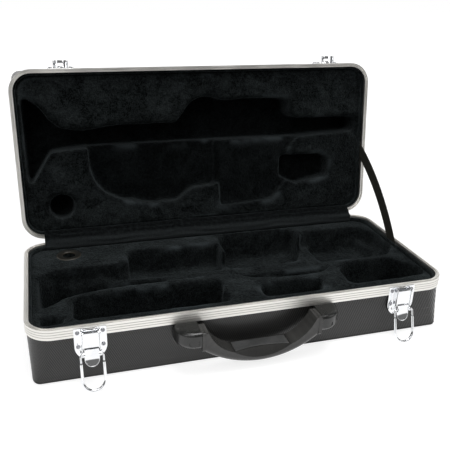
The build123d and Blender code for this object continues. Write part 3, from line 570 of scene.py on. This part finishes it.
def settled(piece):
    """The mesh of a piece with its modifiers applied."""
    graph = bpy.context.evaluated_depsgraph_get()
    return bpy.data.meshes.new_from_object(piece.evaluated_get(graph))


def points_of(mesh):
    """The points of a mesh as rows of three numbers."""
    places = np.zeros(len(mesh.vertices) * 3)
    mesh.vertices.foreach_get("co", places)
    return places.reshape(-1, 3)


def cut_block(name, node, up, height):
    """The CAD lining inside the border, as a closed mesh."""
    form = bmesh.new()
    form.from_mesh(nodes[node].data)
    bmesh.ops.remove_doubles(form, verts=form.verts, dist=weld)
    mesh = bpy.data.meshes.new(name)
    form.to_mesh(mesh)
    form.free()
    mesh.materials.clear()
    block = new_piece(name, mesh)

    cutter = bmesh.new()
    rows = []
    for z in (block_foot, height):
        outline = [up @ Vector((*place, z)) for place, _ in rim_outline(block_inset)]
        rows.append([cutter.verts.new(place) for place in outline])
    cutter.faces.new(rows[0][::-1])
    cutter.faces.new(rows[1])
    for one, two, three, four in zip(
        rows[0], rows[0][1:] + rows[0][:1], rows[1][1:] + rows[1][:1], rows[1]
    ):
        cutter.faces.new((one, two, three, four))
    cutter_mesh = bpy.data.meshes.new("cutter")
    cutter.to_mesh(cutter_mesh)
    cutter.free()
    knife = new_piece("cutter", cutter_mesh)
    cut = block.modifiers.new("cut", "BOOLEAN")
    cut.operation = "INTERSECT"
    cut.solver = "EXACT"
    cut.object = knife
    remesh = block.modifiers.new("pile", "REMESH")
    remesh.mode = "VOXEL"
    remesh.voxel_size = pile_size
    block.data = settled(block)
    block.modifiers.clear()
    bpy.data.objects.remove(knife)
    return block


def eased(values, start, end):
    """0 before start, 1 after end, smooth between."""
    share = np.clip((values - start) / (end - start), 0, 1)
    return share * share * (3 - 2 * share)


def swell(places, shortest, longest, waves=10):
    """A soft unevenness from -1 to 1 over the points, made of long and short waves."""
    total = np.zeros(len(places))
    for _ in range(waves):
        way = seed.normal(size=3)
        way /= np.linalg.norm(way)
        length = seed.uniform(shortest, longest)
        total += np.sin(places @ way * (2 * math.pi / length) + seed.uniform(0, 6.3))
    return total / waves ** 0.5 / 1.5


def padded_lining(name, node, body, up, height, shade):
    """The plush block of one half. The pile eases its edges, and painted shade darkens its
    wells.
    """
    block = cut_block(name, node, up, height)
    mesh = block.data
    places = points_of(mesh)
    edges = np.zeros(len(mesh.edges) * 2, int)
    mesh.edges.foreach_get("vertices", edges)
    one, two = edges.reshape(-1, 2).T
    ends, others = np.concatenate((one, two)), np.concatenate((two, one))
    count = np.maximum(np.bincount(ends, minlength=len(places)), 1)[:, None]

    def neighbours(values):
        columns = [np.bincount(ends, column[others], len(places)) for column in values.T]
        return np.array(columns).T / count

    tray = (np.c_[places, np.ones(len(places))] @ np.array(up.inverted()).T)[:, :3]
    half = np.array((case_length / 2, case_depth / 2)) - corner_radius
    beyond = np.abs(tray[:, :2]) - half
    inset = corner_radius - (
        np.linalg.norm(np.maximum(beyond, 0), axis=1) + np.minimum(beyond.max(axis=1), 0)
    )
    free = eased(inset, *pile_free)
    if body == "base":
        away = np.linalg.norm(tray[:, :2] - np.array(ring_place), axis=1)
        free *= eased(away, *ring_free)
    for _ in range(pile_passes):
        places += (neighbours(places) - places) * 0.5 * free[:, None]

    mesh.vertices.foreach_set("co", places.ravel())
    mesh.update()
    normals = np.zeros(len(places) * 3)
    mesh.vertex_normals.foreach_get("vector", normals)
    normals = normals.reshape(-1, 3)
    ridge = ((places - neighbours(places)) * normals).sum(axis=1)[:, None]
    for _ in range(bend_passes):
        ridge = neighbours(ridge)
    ridge = ridge[:, 0] / pile_size
    crest = np.clip(ridge / sharp_bend, 0, 1) * free
    fold = np.clip(-ridge / sharp_bend, 0, 1) * free
    lumps = swell(places, 0.014, 0.045) * lump_height
    puckers = swell(places, 0.005, 0.010) * pucker_height * np.maximum(crest, fold)
    places += normals * ((lumps + puckers) * free)[:, None]
    mesh.vertices.foreach_set("co", places.ravel())
    # Painted shade: the deeper a point lies below the rim, the darker the plush is painted.
    painted_well_shade = eased(height - tray[:, 2], *well_depth) * shade
    for label, values in (("crest", crest), ("painted_well_shade", painted_well_shade)):
        mask_layer = mesh.attributes.new(label, "FLOAT", "POINT")
        mask_layer.data.foreach_set("value", values.astype(np.float32))
    mesh.polygons.foreach_set("use_smooth", [True] * len(mesh.polygons))
    mesh.update()
    mesh.materials.append(plush)
    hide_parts(node)
    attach(block, body)


nap, given, result = effect(
    "nap", {"Place": "Vector"}, {"Brushed": "Float", "Tufts": "Float", "Pile": "Float"}
)
swirl = step(
    nap, "ShaderNodeTexNoise", Vector=given["Place"], Scale=24.0, Detail=3.0, Distortion=1.6
)
nap.links.new(ramp(nap, swirl.outputs["Fac"], 0.36, 0.7), result["Brushed"])
point = given["Place"]
tufts = placed(nap, speckle, Place=point, Scale=210.0, Detail=2.0, Low=0.42, High=0.66)
nap.links.new(tufts["Mask"], result["Tufts"])
pile = placed(nap, speckle, Place=point, Scale=560.0, Detail=2.0, Low=0.42, High=0.62)
nap.links.new(pile["Mask"], result["Pile"])

plush_deep = (0.0008, 0.0010, 0.0010)
plush_lit = (0.0225, 0.0268, 0.0274)
plush_painted_highlight = (0.050, 0.060, 0.064)
pile_sheen = (0.74, 0.86, 0.9, 1)


def make_plush(name, crested):
    """Short navy-black pile in brushed patches, with painted shade on its crests and painted
    highlights on patches of them.
    """
    material, tree, inputs = finish(name, 0.95, specular=0.0)
    place = own_place(tree)
    pattern = placed(tree, nap, Place=place)
    share = sums(tree, "MULTIPLY", pattern["Brushed"], 0.4)
    share = sums(tree, "MULTIPLY_ADD", pattern["Tufts"], 0.25, share)
    share = sums(tree, "MULTIPLY_ADD", pattern["Pile"], 0.35, share)
    colour = tone(tree, share, plush_deep, plush_lit)
    if crested:
        crest, painted_well_shade = (
            step(tree, "ShaderNodeAttribute", settings={"attribute_name": label}).outputs["Fac"]
            for label in ("crest", "painted_well_shade")
        )
        # Painted shade darkens the wells.
        colour = tone(tree, painted_well_shade, colour, plush_deep)
        highlight_patches = placed(tree, speckle, Place=place, Scale=17.0, Detail=2.0, Low=0.52, High=0.66)
        # Painted shade darkens the crests.
        colour = tone(tree, crest, colour, plush_deep)
        # Painted highlight on patches of the crests.
        painted_highlight = sums(tree, "MULTIPLY", crest, highlight_patches["Mask"])
        colour = tone(tree, painted_highlight, colour, plush_painted_highlight)
    tree.links.new(colour, inputs["Base Color"])
    inputs["Sheen Weight"].default_value = 0.085
    inputs["Sheen Roughness"].default_value = 0.45
    inputs["Sheen Tint"].default_value = pile_sheen
    height = sums(tree, "MULTIPLY_ADD", pattern["Tufts"], 0.6, pattern["Pile"])
    relief(tree, inputs, height, 0.0007, 0.7)
    return material


plush = make_plush("plush", True)
plush_plain = make_plush("plush_edge", False)
base_shade = 0.22
lid_shade = 0.70
padded_lining("plush_base", "base_lining", "base", base_up, base_height, base_shade)
padded_lining("plush_lid", "lid_lining", "lid", lid_up, lid_height, lid_shade)


# A strip of board wrapped in the same plush stands round each half inside the
# rim. The blocks are pushed in against it, and it swells round the stay strap.
strap_bow = 0.0128
strap_base = Vector((0.01215, 0.0638))
strap_closed = Vector((0, 0.01465, 0.0892))
strap_lid = (opened @ strap_closed).yz
strap_half = 0.010
strap_mid_x = 0.27355
end_wall = case_length / 2 - 0.002
strap_level = 0.006
strap_points = 60
swell_reach = (0.030, 0.018)
waver = 0.00009
border_foot = 0.01

border_face = [(0.0058, 0.0165), (0.0058, 0.0046), (0.0061, 0.0033), (0.0068, 0.0026),
               (0.0077, 0.0026), (0.0086, 0.0033), (0.0090, 0.0047), (0.0090, 0.0165)]
border_swelled = [(0.0077, 0.0165), (0.0077, 0.0046), (0.0079, 0.0034), (0.0083, 0.0027),
                  (0.0089, 0.0027), (0.0096, 0.0034), (0.0099, 0.0047), (0.0099, 0.0165)]


def strap_line(parts):
    """Points along the middle of the strap, with the way along it, and its length."""
    run = strap_lid - strap_base
    rise = Vector((-run.y, run.x)).normalized()
    radius = (run.length_squared / 4 + strap_bow ** 2) / (2 * strap_bow)
    centre = (strap_base + strap_lid) / 2 + rise * (strap_bow - radius)
    half_angle = math.asin(run.length / 2 / radius)
    line = []
    for part in range(parts + 1):
        angle = half_angle * (2 * part / parts - 1)
        out = rise * math.cos(angle) + run.normalized() * math.sin(angle)
        way = run.normalized() * math.cos(angle) - rise * math.sin(angle)
        line.append((centre + out * radius, way))
    return line, 2 * half_angle * radius


def lining_border(name, body, up, height):
    """The wrapped strip round one half, under its own rim."""
    line, _ = strap_line(strap_points)
    rings = []
    for (place, inward), wave in zip(rim_outline(0), seed.normal(size=1000)):
        outer = up @ Vector((*place, height - strap_level))
        share = 0.0
        if outer.x > end_wall:
            near = min((outer.yz - point).length for point, _ in line)
            share = float(eased(near, *swell_reach))
        ring = []
        for plain, swelled in zip(border_face, border_swelled):
            into = plain[0] + (swelled[0] - plain[0]) * share
            drop = plain[1] + (swelled[1] - plain[1]) * share
            if drop < border_foot:
                drop += waver * wave
            point = place + inward * into
            ring.append(up @ Vector((*point, height - drop)))
        rings.append(ring)
    border = skin(name, rings, closed=True)
    border.data.materials.append(plush_plain)
    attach(border, body)


lining_border("plush_base_border", "base", base_up, base_height)
lining_border("plush_lid_border", "lid", lid_up, lid_height)


# The mouthpiece stands in a hole in the plush, held by a turned wooden ring with
# a dark olive-brown lacquer. Its outer edge is tan, and a painted highlight in the
# same tan lies round its hole.
lacquer_dark, lacquer_light = (0.0085, 0.0082, 0.0070), (0.0160, 0.0150, 0.0125)
tan_edge_and_highlight = (0.042, 0.036, 0.026)
outside_tan = (0.0163, 0.0170)
hole_painted_highlight = (0.0103, 0.0098)
ring_tan, tree, inputs = finish("ring_tan", 0.42, specular=0.35)
place = own_place(tree)
turned_lines = placed(tree, speckle, Place=place, Scale=160.0, Detail=4.0, Low=0.3, High=0.7)
colour = tone(tree, turned_lines["Mask"], lacquer_dark, lacquer_light)
offset = step(
    tree, "ShaderNodeVectorMath", place, (*ring_place, 0.0), settings={"operation": "SUBTRACT"}
).outputs[0]
flat = step(tree, "ShaderNodeVectorMath", offset, (1, 1, 0), settings={"operation": "MULTIPLY"})
reach = step(tree, "ShaderNodeVectorMath", flat.outputs[0], settings={"operation": "LENGTH"})
reach = reach.outputs["Value"]
outer_edge = ramp(tree, reach, *outside_tan)
# Painted highlight on the lip round the hole.
inner_edge = ramp(tree, reach, *hole_painted_highlight)
tan_and_highlight = sums(tree, "MAXIMUM", outer_edge, inner_edge)
# Tan on the outer edge, and a painted highlight round the hole.
colour = tone(tree, sums(tree, "MULTIPLY", tan_and_highlight, 0.8), colour, tan_edge_and_highlight)
tree.links.new(colour, inputs["Base Color"])
inputs["Coat Weight"].default_value = 0.15
inputs["Coat Roughness"].default_value = 0.3
relief(tree, inputs, turned_lines["Mask"], 0.0001, 0.5)
finished(ring_tan, "mouthpiece_ring")


# Three steel hinges join the halves behind the rims, each two leaves rolled
# round a pin. They are zinc plated and held by tubular rivets.
painted_edge_reflection = (0.03, 0.03, 0.032)


def make_plated(name, dull, bright, roughness, spangle):
    """Plated steel with cloudy crystals and scuffs, and a painted dark reflection where an edge
    is rounded.
    """
    material, tree, inputs = finish(name, roughness, metallic=1.0)
    place = own_place(tree)
    cells = step(tree, "ShaderNodeTexVoronoi", Vector=place, Scale=spangle)
    cloud = placed(tree, speckle, Place=place, Scale=60.0, Detail=4.0, Low=0.3, High=0.7)
    marks = placed(tree, handling, Place=place)
    crystals = step(tree, "ShaderNodeSeparateColor", cells.outputs["Color"]).outputs[0]
    share = sums(tree, "MULTIPLY", cloud["Mask"], 0.6)
    share = sums(tree, "MULTIPLY_ADD", crystals, 0.4, share)
    colour = tone(tree, share, dull, bright)
    colour = tone(tree, sums(tree, "MULTIPLY", marks["Scuffs"], 0.5), colour, dull)
    # Painted dark reflection on the rounded edges.
    edge = step(tree, "ShaderNodeAttribute", settings={"attribute_name": "rounded"})
    colour = tone(tree, sums(tree, "MULTIPLY", edge.outputs["Fac"], 0.9), colour, painted_edge_reflection)
    tree.links.new(colour, inputs["Base Color"])
    rough = ramp(tree, share, 0.0, 1.0, roughness * 1.25, roughness * 0.8)
    tree.links.new(rough, inputs["Roughness"])
    relief(tree, inputs, marks["Scuffs"], 0.00003, 0.5)
    return material


zinc_steel = make_plated("zinc_steel", (0.36, 0.37, 0.38), (0.58, 0.59, 0.60), 0.3, 420)

for place in ("left", "centre", "right"):
    finished(
        zinc_steel,
        f"hinge_{place}_base_leaf",
        f"hinge_{place}_lid_leaf",
        f"hinge_{place}_pin",
    )

mm = 0.001
rivet_profile = [(0.0, 0.45), (0.55, 0.42), (0.85, 0.62), (1.1, 1.02), (1.45, 1.18),
                 (1.9, 1.08), (2.25, 0.8), (2.45, 0.4), (2.5, 0.04), (1.5, 0.0)]
rivet_shank = 1.5
rivet_head = 1.2 * mm
rivet_steps = 20


def solids_of(node):
    """The points of each separate solid in a CAD node."""
    form = bmesh.new()
    form.from_mesh(nodes[node].data)
    bmesh.ops.remove_doubles(form, verts=form.verts, dist=weld)
    left = set(form.verts)
    solids = []
    while left:
        found = [left.pop()]
        for vert in found:
            for edge in vert.link_edges:
                other = edge.other_vert(vert)
                if other in left:
                    left.remove(other)
                    found.append(other)
        solids.append([vert.co.copy() for vert in found])
    form.free()
    return solids


def tubular_rivets(node, body, material, outward):
    """Rivets rolled over into a ring round their hollow, in place of a node's plain ones."""
    outward = Vector(outward).normalized()
    side = outward.orthogonal().normalized()
    other = outward.cross(side)
    form = bmesh.new()
    for points in solids_of(node):
        low = [min(p.dot(axis) for p in points) for axis in (side, other, outward)]
        high = [max(p.dot(axis) for p in points) for axis in (side, other, outward)]
        middle = [(a + b) / 2 for a, b in zip(low, high)]
        seat = high[2] - rivet_head
        foot = (low[2] - seat) / mm
        rows = []
        for radius, height in rivet_profile + [(rivet_shank, foot), (0.0, foot)]:
            row = []
            for part in range(rivet_steps if radius else 1):
                angle = 2 * math.pi * part / rivet_steps
                out = side * math.cos(angle) + other * math.sin(angle)
                centre = side * middle[0] + other * middle[1]
                centre += outward * (seat + height * mm)
                row.append(form.verts.new(centre + out * radius * mm))
            rows.append(row)
        for above, below in zip(rows, rows[1:]):
            for part in range(rivet_steps):
                after = (part + 1) % rivet_steps
                corners = [above[part % len(above)], above[after % len(above)],
                           below[after % len(below)], below[part % len(below)]]
                form.faces.new(list(dict.fromkeys(corners)))
    bmesh.ops.recalc_face_normals(form, faces=form.faces)
    mesh = bpy.data.meshes.new(node + "_rolled")
    form.to_mesh(mesh)
    form.free()
    rivets = new_piece(node + "_rolled", mesh)
    mesh.materials.append(material)
    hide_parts(node)
    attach(rivets, body)


def on_open_lid(way):
    """A direction on the closed lid, turned with the lid to where it stands open."""
    return Matrix.Rotation(lid_opening, 3, "X") @ Vector(way)


back = Vector((0, 1, 0))
tubular_rivets("hinge_base_rivets", "base", zinc_steel, back)
tubular_rivets("hinge_lid_rivets", "lid", zinc_steel, on_open_lid(back))


# A strip of black cloth is glued along both linings and bridges the two rims
# at the back, so that it hides the hinges. It lies in long folds along them.
cover_line = [(0.11395, 0.0690), (0.11395, 0.0745), (0.11500, 0.0785), (0.12000, 0.0826),
              (0.12580, 0.0868), (0.13150, 0.0902), (0.13686, 0.08968)]
cover_half = 0.250
cover_thick = 0.0009
cover_rows = 36
cover_columns = 126
fold_pitch = 0.0088
fold_height = 0.0016
fold_free = 0.006
long_drift = 0.0011
short_drift = 0.0007
curve_steps = 20
cloth_dark, cloth_light = (0.0020, 0.0023, 0.0024), (0.0125, 0.0148, 0.0152)
cloth_pale = (0.042, 0.048, 0.050)

cover_cloth, tree, inputs = finish("cover_cloth", 0.9, specular=0.0)
flat = step(tree, "ShaderNodeUVMap", settings={"uv_map": "flat"}).outputs[0]
pattern = placed(tree, nap, Place=flat)
grain = sums(tree, "MULTIPLY", pattern["Pile"], 0.4)
grain = sums(tree, "MULTIPLY_ADD", pattern["Tufts"], 0.4, grain)
colour = tone(tree, grain, cloth_dark, cloth_light)
up_the_cloth = step(tree, "ShaderNodeSeparateXYZ", flat).outputs["Y"]
# The cloth is paler towards its end on the base.
paler_end = ramp(tree, up_the_cloth, 0.003, 0.020, 0.45, 0.0)
colour = tone(tree, paler_end, colour, cloth_pale)
tree.links.new(colour, inputs["Base Color"])
inputs["Sheen Weight"].default_value = 0.04
inputs["Sheen Roughness"].default_value = 0.4
inputs["Sheen Tint"].default_value = pile_sheen
relief(tree, inputs, pattern["Pile"], 0.0005, 0.7)


def rounded_line(points, parts):
    """Even points along a smooth curve through these points, and its length."""
    padded = [2 * points[0] - points[1], *points, 2 * points[-1] - points[-2]]
    fine = []
    for one, two, three, four in zip(padded, padded[1:], padded[2:], padded[3:]):
        for part in range(curve_steps):
            t = part / curve_steps
            place = 2 * two + (three - one) * t
            place += (2 * one - 5 * two + 4 * three - four) * t * t
            place += (3 * two - one - 3 * three + four) * t ** 3
            fine.append(place / 2)
    fine.append(points[-1])
    reach = [0.0]
    for one, two in zip(fine, fine[1:]):
        reach.append(reach[-1] + (two - one).length)
    wanted = np.linspace(0, reach[-1], parts + 1)
    y = np.interp(wanted, reach, [p.x for p in fine])
    z = np.interp(wanted, reach, [p.y for p in fine])
    return [Vector(pair) for pair in zip(y, z)], reach[-1]


line, cover_reach = rounded_line([Vector(place) for place in cover_line], cover_rows)
rings = []
flat_places = []
for column in range(cover_columns + 1):
    x = cover_half * (2 * column / cover_columns - 1)
    front_side, back_side, front_flat = [], [], []
    for row, place in enumerate(line):
        before, after = line[max(row - 1, 0)], line[min(row + 1, cover_rows)]
        way = (after - before).normalized()
        out = Vector((-way.y, way.x))
        if out.x > 0:
            out = -out
        along = cover_reach * row / cover_rows
        drift = long_drift * math.sin(x * 31) + short_drift * math.sin(x * 83 + 1.3)
        fold = math.sin((along + drift) / fold_pitch * 2 * math.pi)
        fold *= 0.75 + 0.25 * math.sin(x * 47 + along * 260)
        free = min(along, cover_reach - along) / fold_free
        rise = fold_height * (0.5 + 0.5 * fold) * min(free, 1.0)
        front_side.append(Vector((x, *(place + out * (cover_thick + rise)))))
        back_side.append(Vector((x, *(place + out * rise))))
        front_flat.append((x, along))
    rings.append(front_side + back_side[::-1])
    flat_places += front_flat + front_flat[::-1]
cover = skin("hinge_cloth", rings, measures=flat_places)
cover.data.materials.append(cover_cloth)
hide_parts("hinge_cover")
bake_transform(cover)


# Two draw latches hold the case shut. On each, a plate with two ears carries a
# lever on a pin, and the lever pulls a wire bail over the hook of the catch.
edge_round = 0.00055
sharp_edge = math.radians(40)
front = Vector((0, -1, 0))
chrome_plate = make_plated("chrome_plate", (0.80, 0.81, 0.83), (0.92, 0.93, 0.94), 0.06, 90)
dull_chrome = make_plated("dull_chrome", (0.22, 0.22, 0.24), (0.46, 0.47, 0.49), 0.16, 200)


def tumbled(node, body):
    """A CAD node again with its edges rounded, as tumbling leaves stamped sheet."""
    form = bmesh.new()
    form.from_mesh(nodes[node].data)
    bmesh.ops.remove_doubles(form, verts=form.verts, dist=weld)
    mesh = bpy.data.meshes.new(node + "_tumbled")
    form.to_mesh(mesh)
    form.free()
    mesh.materials.clear()
    piece = new_piece(node + "_tumbled", mesh)
    mesh.materials.append(chrome_plate)
    mesh.materials.append(chrome_plate)
    soften = piece.modifiers.new("edges", "BEVEL")
    soften.width = edge_round
    soften.segments = 2
    soften.limit_method = "ANGLE"
    soften.angle_limit = sharp_edge
    soften.material = 1
    piece.data = settled(piece)
    piece.modifiers.clear()
    # The rounded faces carry the plated material's painted dark reflection.
    rounded = [float(face.material_index == 1) for face in piece.data.polygons]
    piece.data.attributes.new("rounded", "FLOAT", "FACE").data.foreach_set("value", rounded)
    piece.data.polygons.foreach_set("material_index", [0] * len(rounded))
    piece.data.materials.clear()
    piece.data.materials.append(chrome_plate)
    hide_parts(node)
    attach(piece, body)


for side in ("left", "right"):
    finished(chrome_plate, f"latch_{side}_pin", f"latch_{side}_bail")
    tumbled(f"latch_{side}_plate", "base")
    tumbled(f"latch_{side}_lever", f"{side}_lever")
    tumbled(f"catch_{side}", "lid")
    tubular_rivets(f"latch_{side}_rivets", "base", dull_chrome, front)
    tubular_rivets(
        f"catch_{side}_rivets", "lid", dull_chrome, on_open_lid(front)
    )


# The handle is a moulded charcoal grip that swings on steel pins between two
# moulded mounts. Plates and screws behind the wall hold the mounts.
def make_moulded(name, dark, light, roughness, grain_scale, grain_depth, specular=0.3):
    """Moulded plastic or rubber with an even grain and patches, lighter on its convex edges."""
    material, tree, inputs = finish(name, roughness, specular=specular)
    place = own_place(tree)
    skin_grain = placed(tree, pebbles, Place=place, Scale=grain_scale)["Height"]
    marks = placed(tree, handling, Place=place)
    patches = placed(tree, speckle, Place=place, Scale=40.0, Detail=4.0, Low=0.32, High=0.7)
    share = sums(tree, "MULTIPLY", patches["Mask"], 0.5)
    share = sums(tree, "MULTIPLY_ADD", skin_grain, 0.3, share)
    colour = tone(tree, share, dark, light)
    edge = step(tree, "ShaderNodeNewGeometry").outputs["Pointiness"]
    mask_layer = sums(tree, "MULTIPLY", ramp(tree, edge, 0.53, 0.66), 0.35)
    colour = tone(tree, mask_layer, colour, [min(3 * c, 0.2) for c in light])
    colour = tone(tree, sums(tree, "MULTIPLY", marks["Dust"], 0.12), colour, dust_tone)
    tree.links.new(colour, inputs["Base Color"])
    rough = ramp(tree, patches["Mask"], 0.0, 1.0, roughness * 1.12, roughness * 0.85)
    tree.links.new(rough, inputs["Roughness"])
    relief(tree, inputs, skin_grain, grain_depth, 0.7)
    return material


grip_dark, grip_light = (0.0140, 0.0138, 0.0131), (0.0330, 0.0326, 0.0312)
mount_dark, mount_light = (0.0070, 0.0075, 0.0070), (0.0150, 0.0157, 0.0146)
pad_dark, pad_light = (0.0300, 0.0308, 0.0308), (0.0820, 0.0830, 0.0830)
handle_plastic = make_moulded(
    "handle_plastic", grip_dark, grip_light, 0.24, 1150, 0.00006, specular=0.6
)
mount_plastic = make_moulded(
    "mount_plastic", mount_dark, mount_light, 0.26, 1150, 0.00005, specular=0.6
)
pad_rubber = make_moulded("pad_rubber", pad_dark, pad_light, 0.42, 700, 0.00012, specular=0.4)
finished(handle_plastic, "handle_grip")
finished(mount_plastic, "handle_left_mount", "handle_right_mount")
finished(pad_rubber, "handle_pad")
finished(
    zinc_steel, "handle_left_pin", "handle_right_pin", "handle_backing_plates", "handle_screws"
)


# A stay strap of olive-black webbing holds the open lid. It is woven flat with
# thicker edges, and a rivet at each end holds it behind the plush border.
weave, given, result = effect(
    "weave",
    {"Across": "Float", "Along": "Float", "Cord": "Float", "Pick": "Float"},
    {"Height": "Float"},
)
cords = sums(weave, "DIVIDE", given["Across"], given["Cord"])
picks = sums(weave, "DIVIDE", given["Along"], given["Pick"])
lean = sums(weave, "ADD", picks, sums(weave, "PINGPONG", cords, 1.0))
ribs = sums(weave, "ABSOLUTE", sums(weave, "SINE", sums(weave, "MULTIPLY", cords, math.pi)))
threads = sums(weave, "SINE", sums(weave, "MULTIPLY", lean, 2 * math.pi))
threads = sums(weave, "MULTIPLY_ADD", threads, 0.5, 0.5)
height = sums(weave, "MULTIPLY", ribs, sums(weave, "MULTIPLY_ADD", threads, 0.6, 0.4))
weave.links.new(height, result["Height"])

cord_pitch = 0.0014
pick_pitch = 0.0016
webbing_dark, webbing_light = (0.0130, 0.0125, 0.0090), (0.0360, 0.0340, 0.0250)
webbing, tree, inputs = finish("webbing", 0.8, specular=0.15)
flat = step(tree, "ShaderNodeUVMap", settings={"uv_map": "flat"}).outputs[0]
sides = step(tree, "ShaderNodeSeparateXYZ", flat).outputs
woven = placed(
    tree, weave, Across=sides["Y"], Along=sides["X"], Cord=cord_pitch, Pick=pick_pitch
)["Height"]
fuzz = placed(tree, speckle, Place=flat, Scale=900.0, Detail=3.0, Low=0.3, High=0.75)["Mask"]
faded = placed(tree, speckle, Place=flat, Scale=30.0, Detail=2.0, Low=0.3, High=0.7)["Mask"]
share = sums(tree, "MULTIPLY_ADD", fuzz, 0.25, sums(tree, "MULTIPLY", woven, 0.45))
share = sums(tree, "MULTIPLY_ADD", faded, 0.3, share)
colour = tone(tree, share, webbing_dark, webbing_light)
tree.links.new(colour, inputs["Base Color"])
inputs["Sheen Weight"].default_value = 0.04
inputs["Sheen Roughness"].default_value = 0.5
relief(tree, inputs, woven, 0.0003, 0.8)

strap_rows = 88
end_rows = 9
spread = [-1, -0.97, -0.9, -0.82, -0.5, 0, 0.5, 0.82, 0.9, 0.97, 1]
thick = [0.35, 0.62, 0.70, 0.58, 0.55, 0.55, 0.55, 0.58, 0.70, 0.62, 0.35]
line, strap_reach = strap_line(strap_rows)


def rounded_end(place, way, along, sign):
    """Rows over one round end of the strap, from its widest part outwards."""
    rows = []
    for part in range(end_rows - 1, 0, -1):
        angle = math.pi / 2 * (1 - part / end_rows)
        past = sign * strap_half * math.sin(angle)
        rows.append((place + way * past, way, math.cos(angle), along + past))
    return rows


rows = rounded_end(*line[0], 0.0, -1)[::-1]
for part, (place, way) in enumerate(line):
    rows.append((place, way, 1.0, strap_reach * part / strap_rows))
rows += rounded_end(*line[-1], strap_reach, 1)
rings = []
flat_places = []
for place, way, width, along in rows:
    side = Vector((-way.y, way.x))
    ring = []
    for face, order in ((1, 1), (-1, -1)):
        for share, deep in list(zip(spread, thick))[::order]:
            across_strap = share * strap_half * width
            point = place + side * across_strap
            ring.append(Vector((strap_mid_x + face * deep * mm, point.x, point.y)))
            flat_places.append((along, across_strap))
    rings.append(ring)
strap = skin("webbing_strap", rings, measures=flat_places)
strap.data.materials.append(webbing)
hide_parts("stay_strap")
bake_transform(strap)
finished(zinc_steel, "strap_base_rivet", "strap_lid_rivet")


# Four moulded feet stand out of the back walls, so that the shut case can be
# stood on its hinge side. Each is pressed on to a stud through the wall.
foot_plastic = make_moulded(
    "foot_plastic", (0.012, 0.012, 0.012), (0.026, 0.026, 0.025), 0.5, 900, 0.0001
)
finished(foot_plastic, "base_feet", "lid_feet")
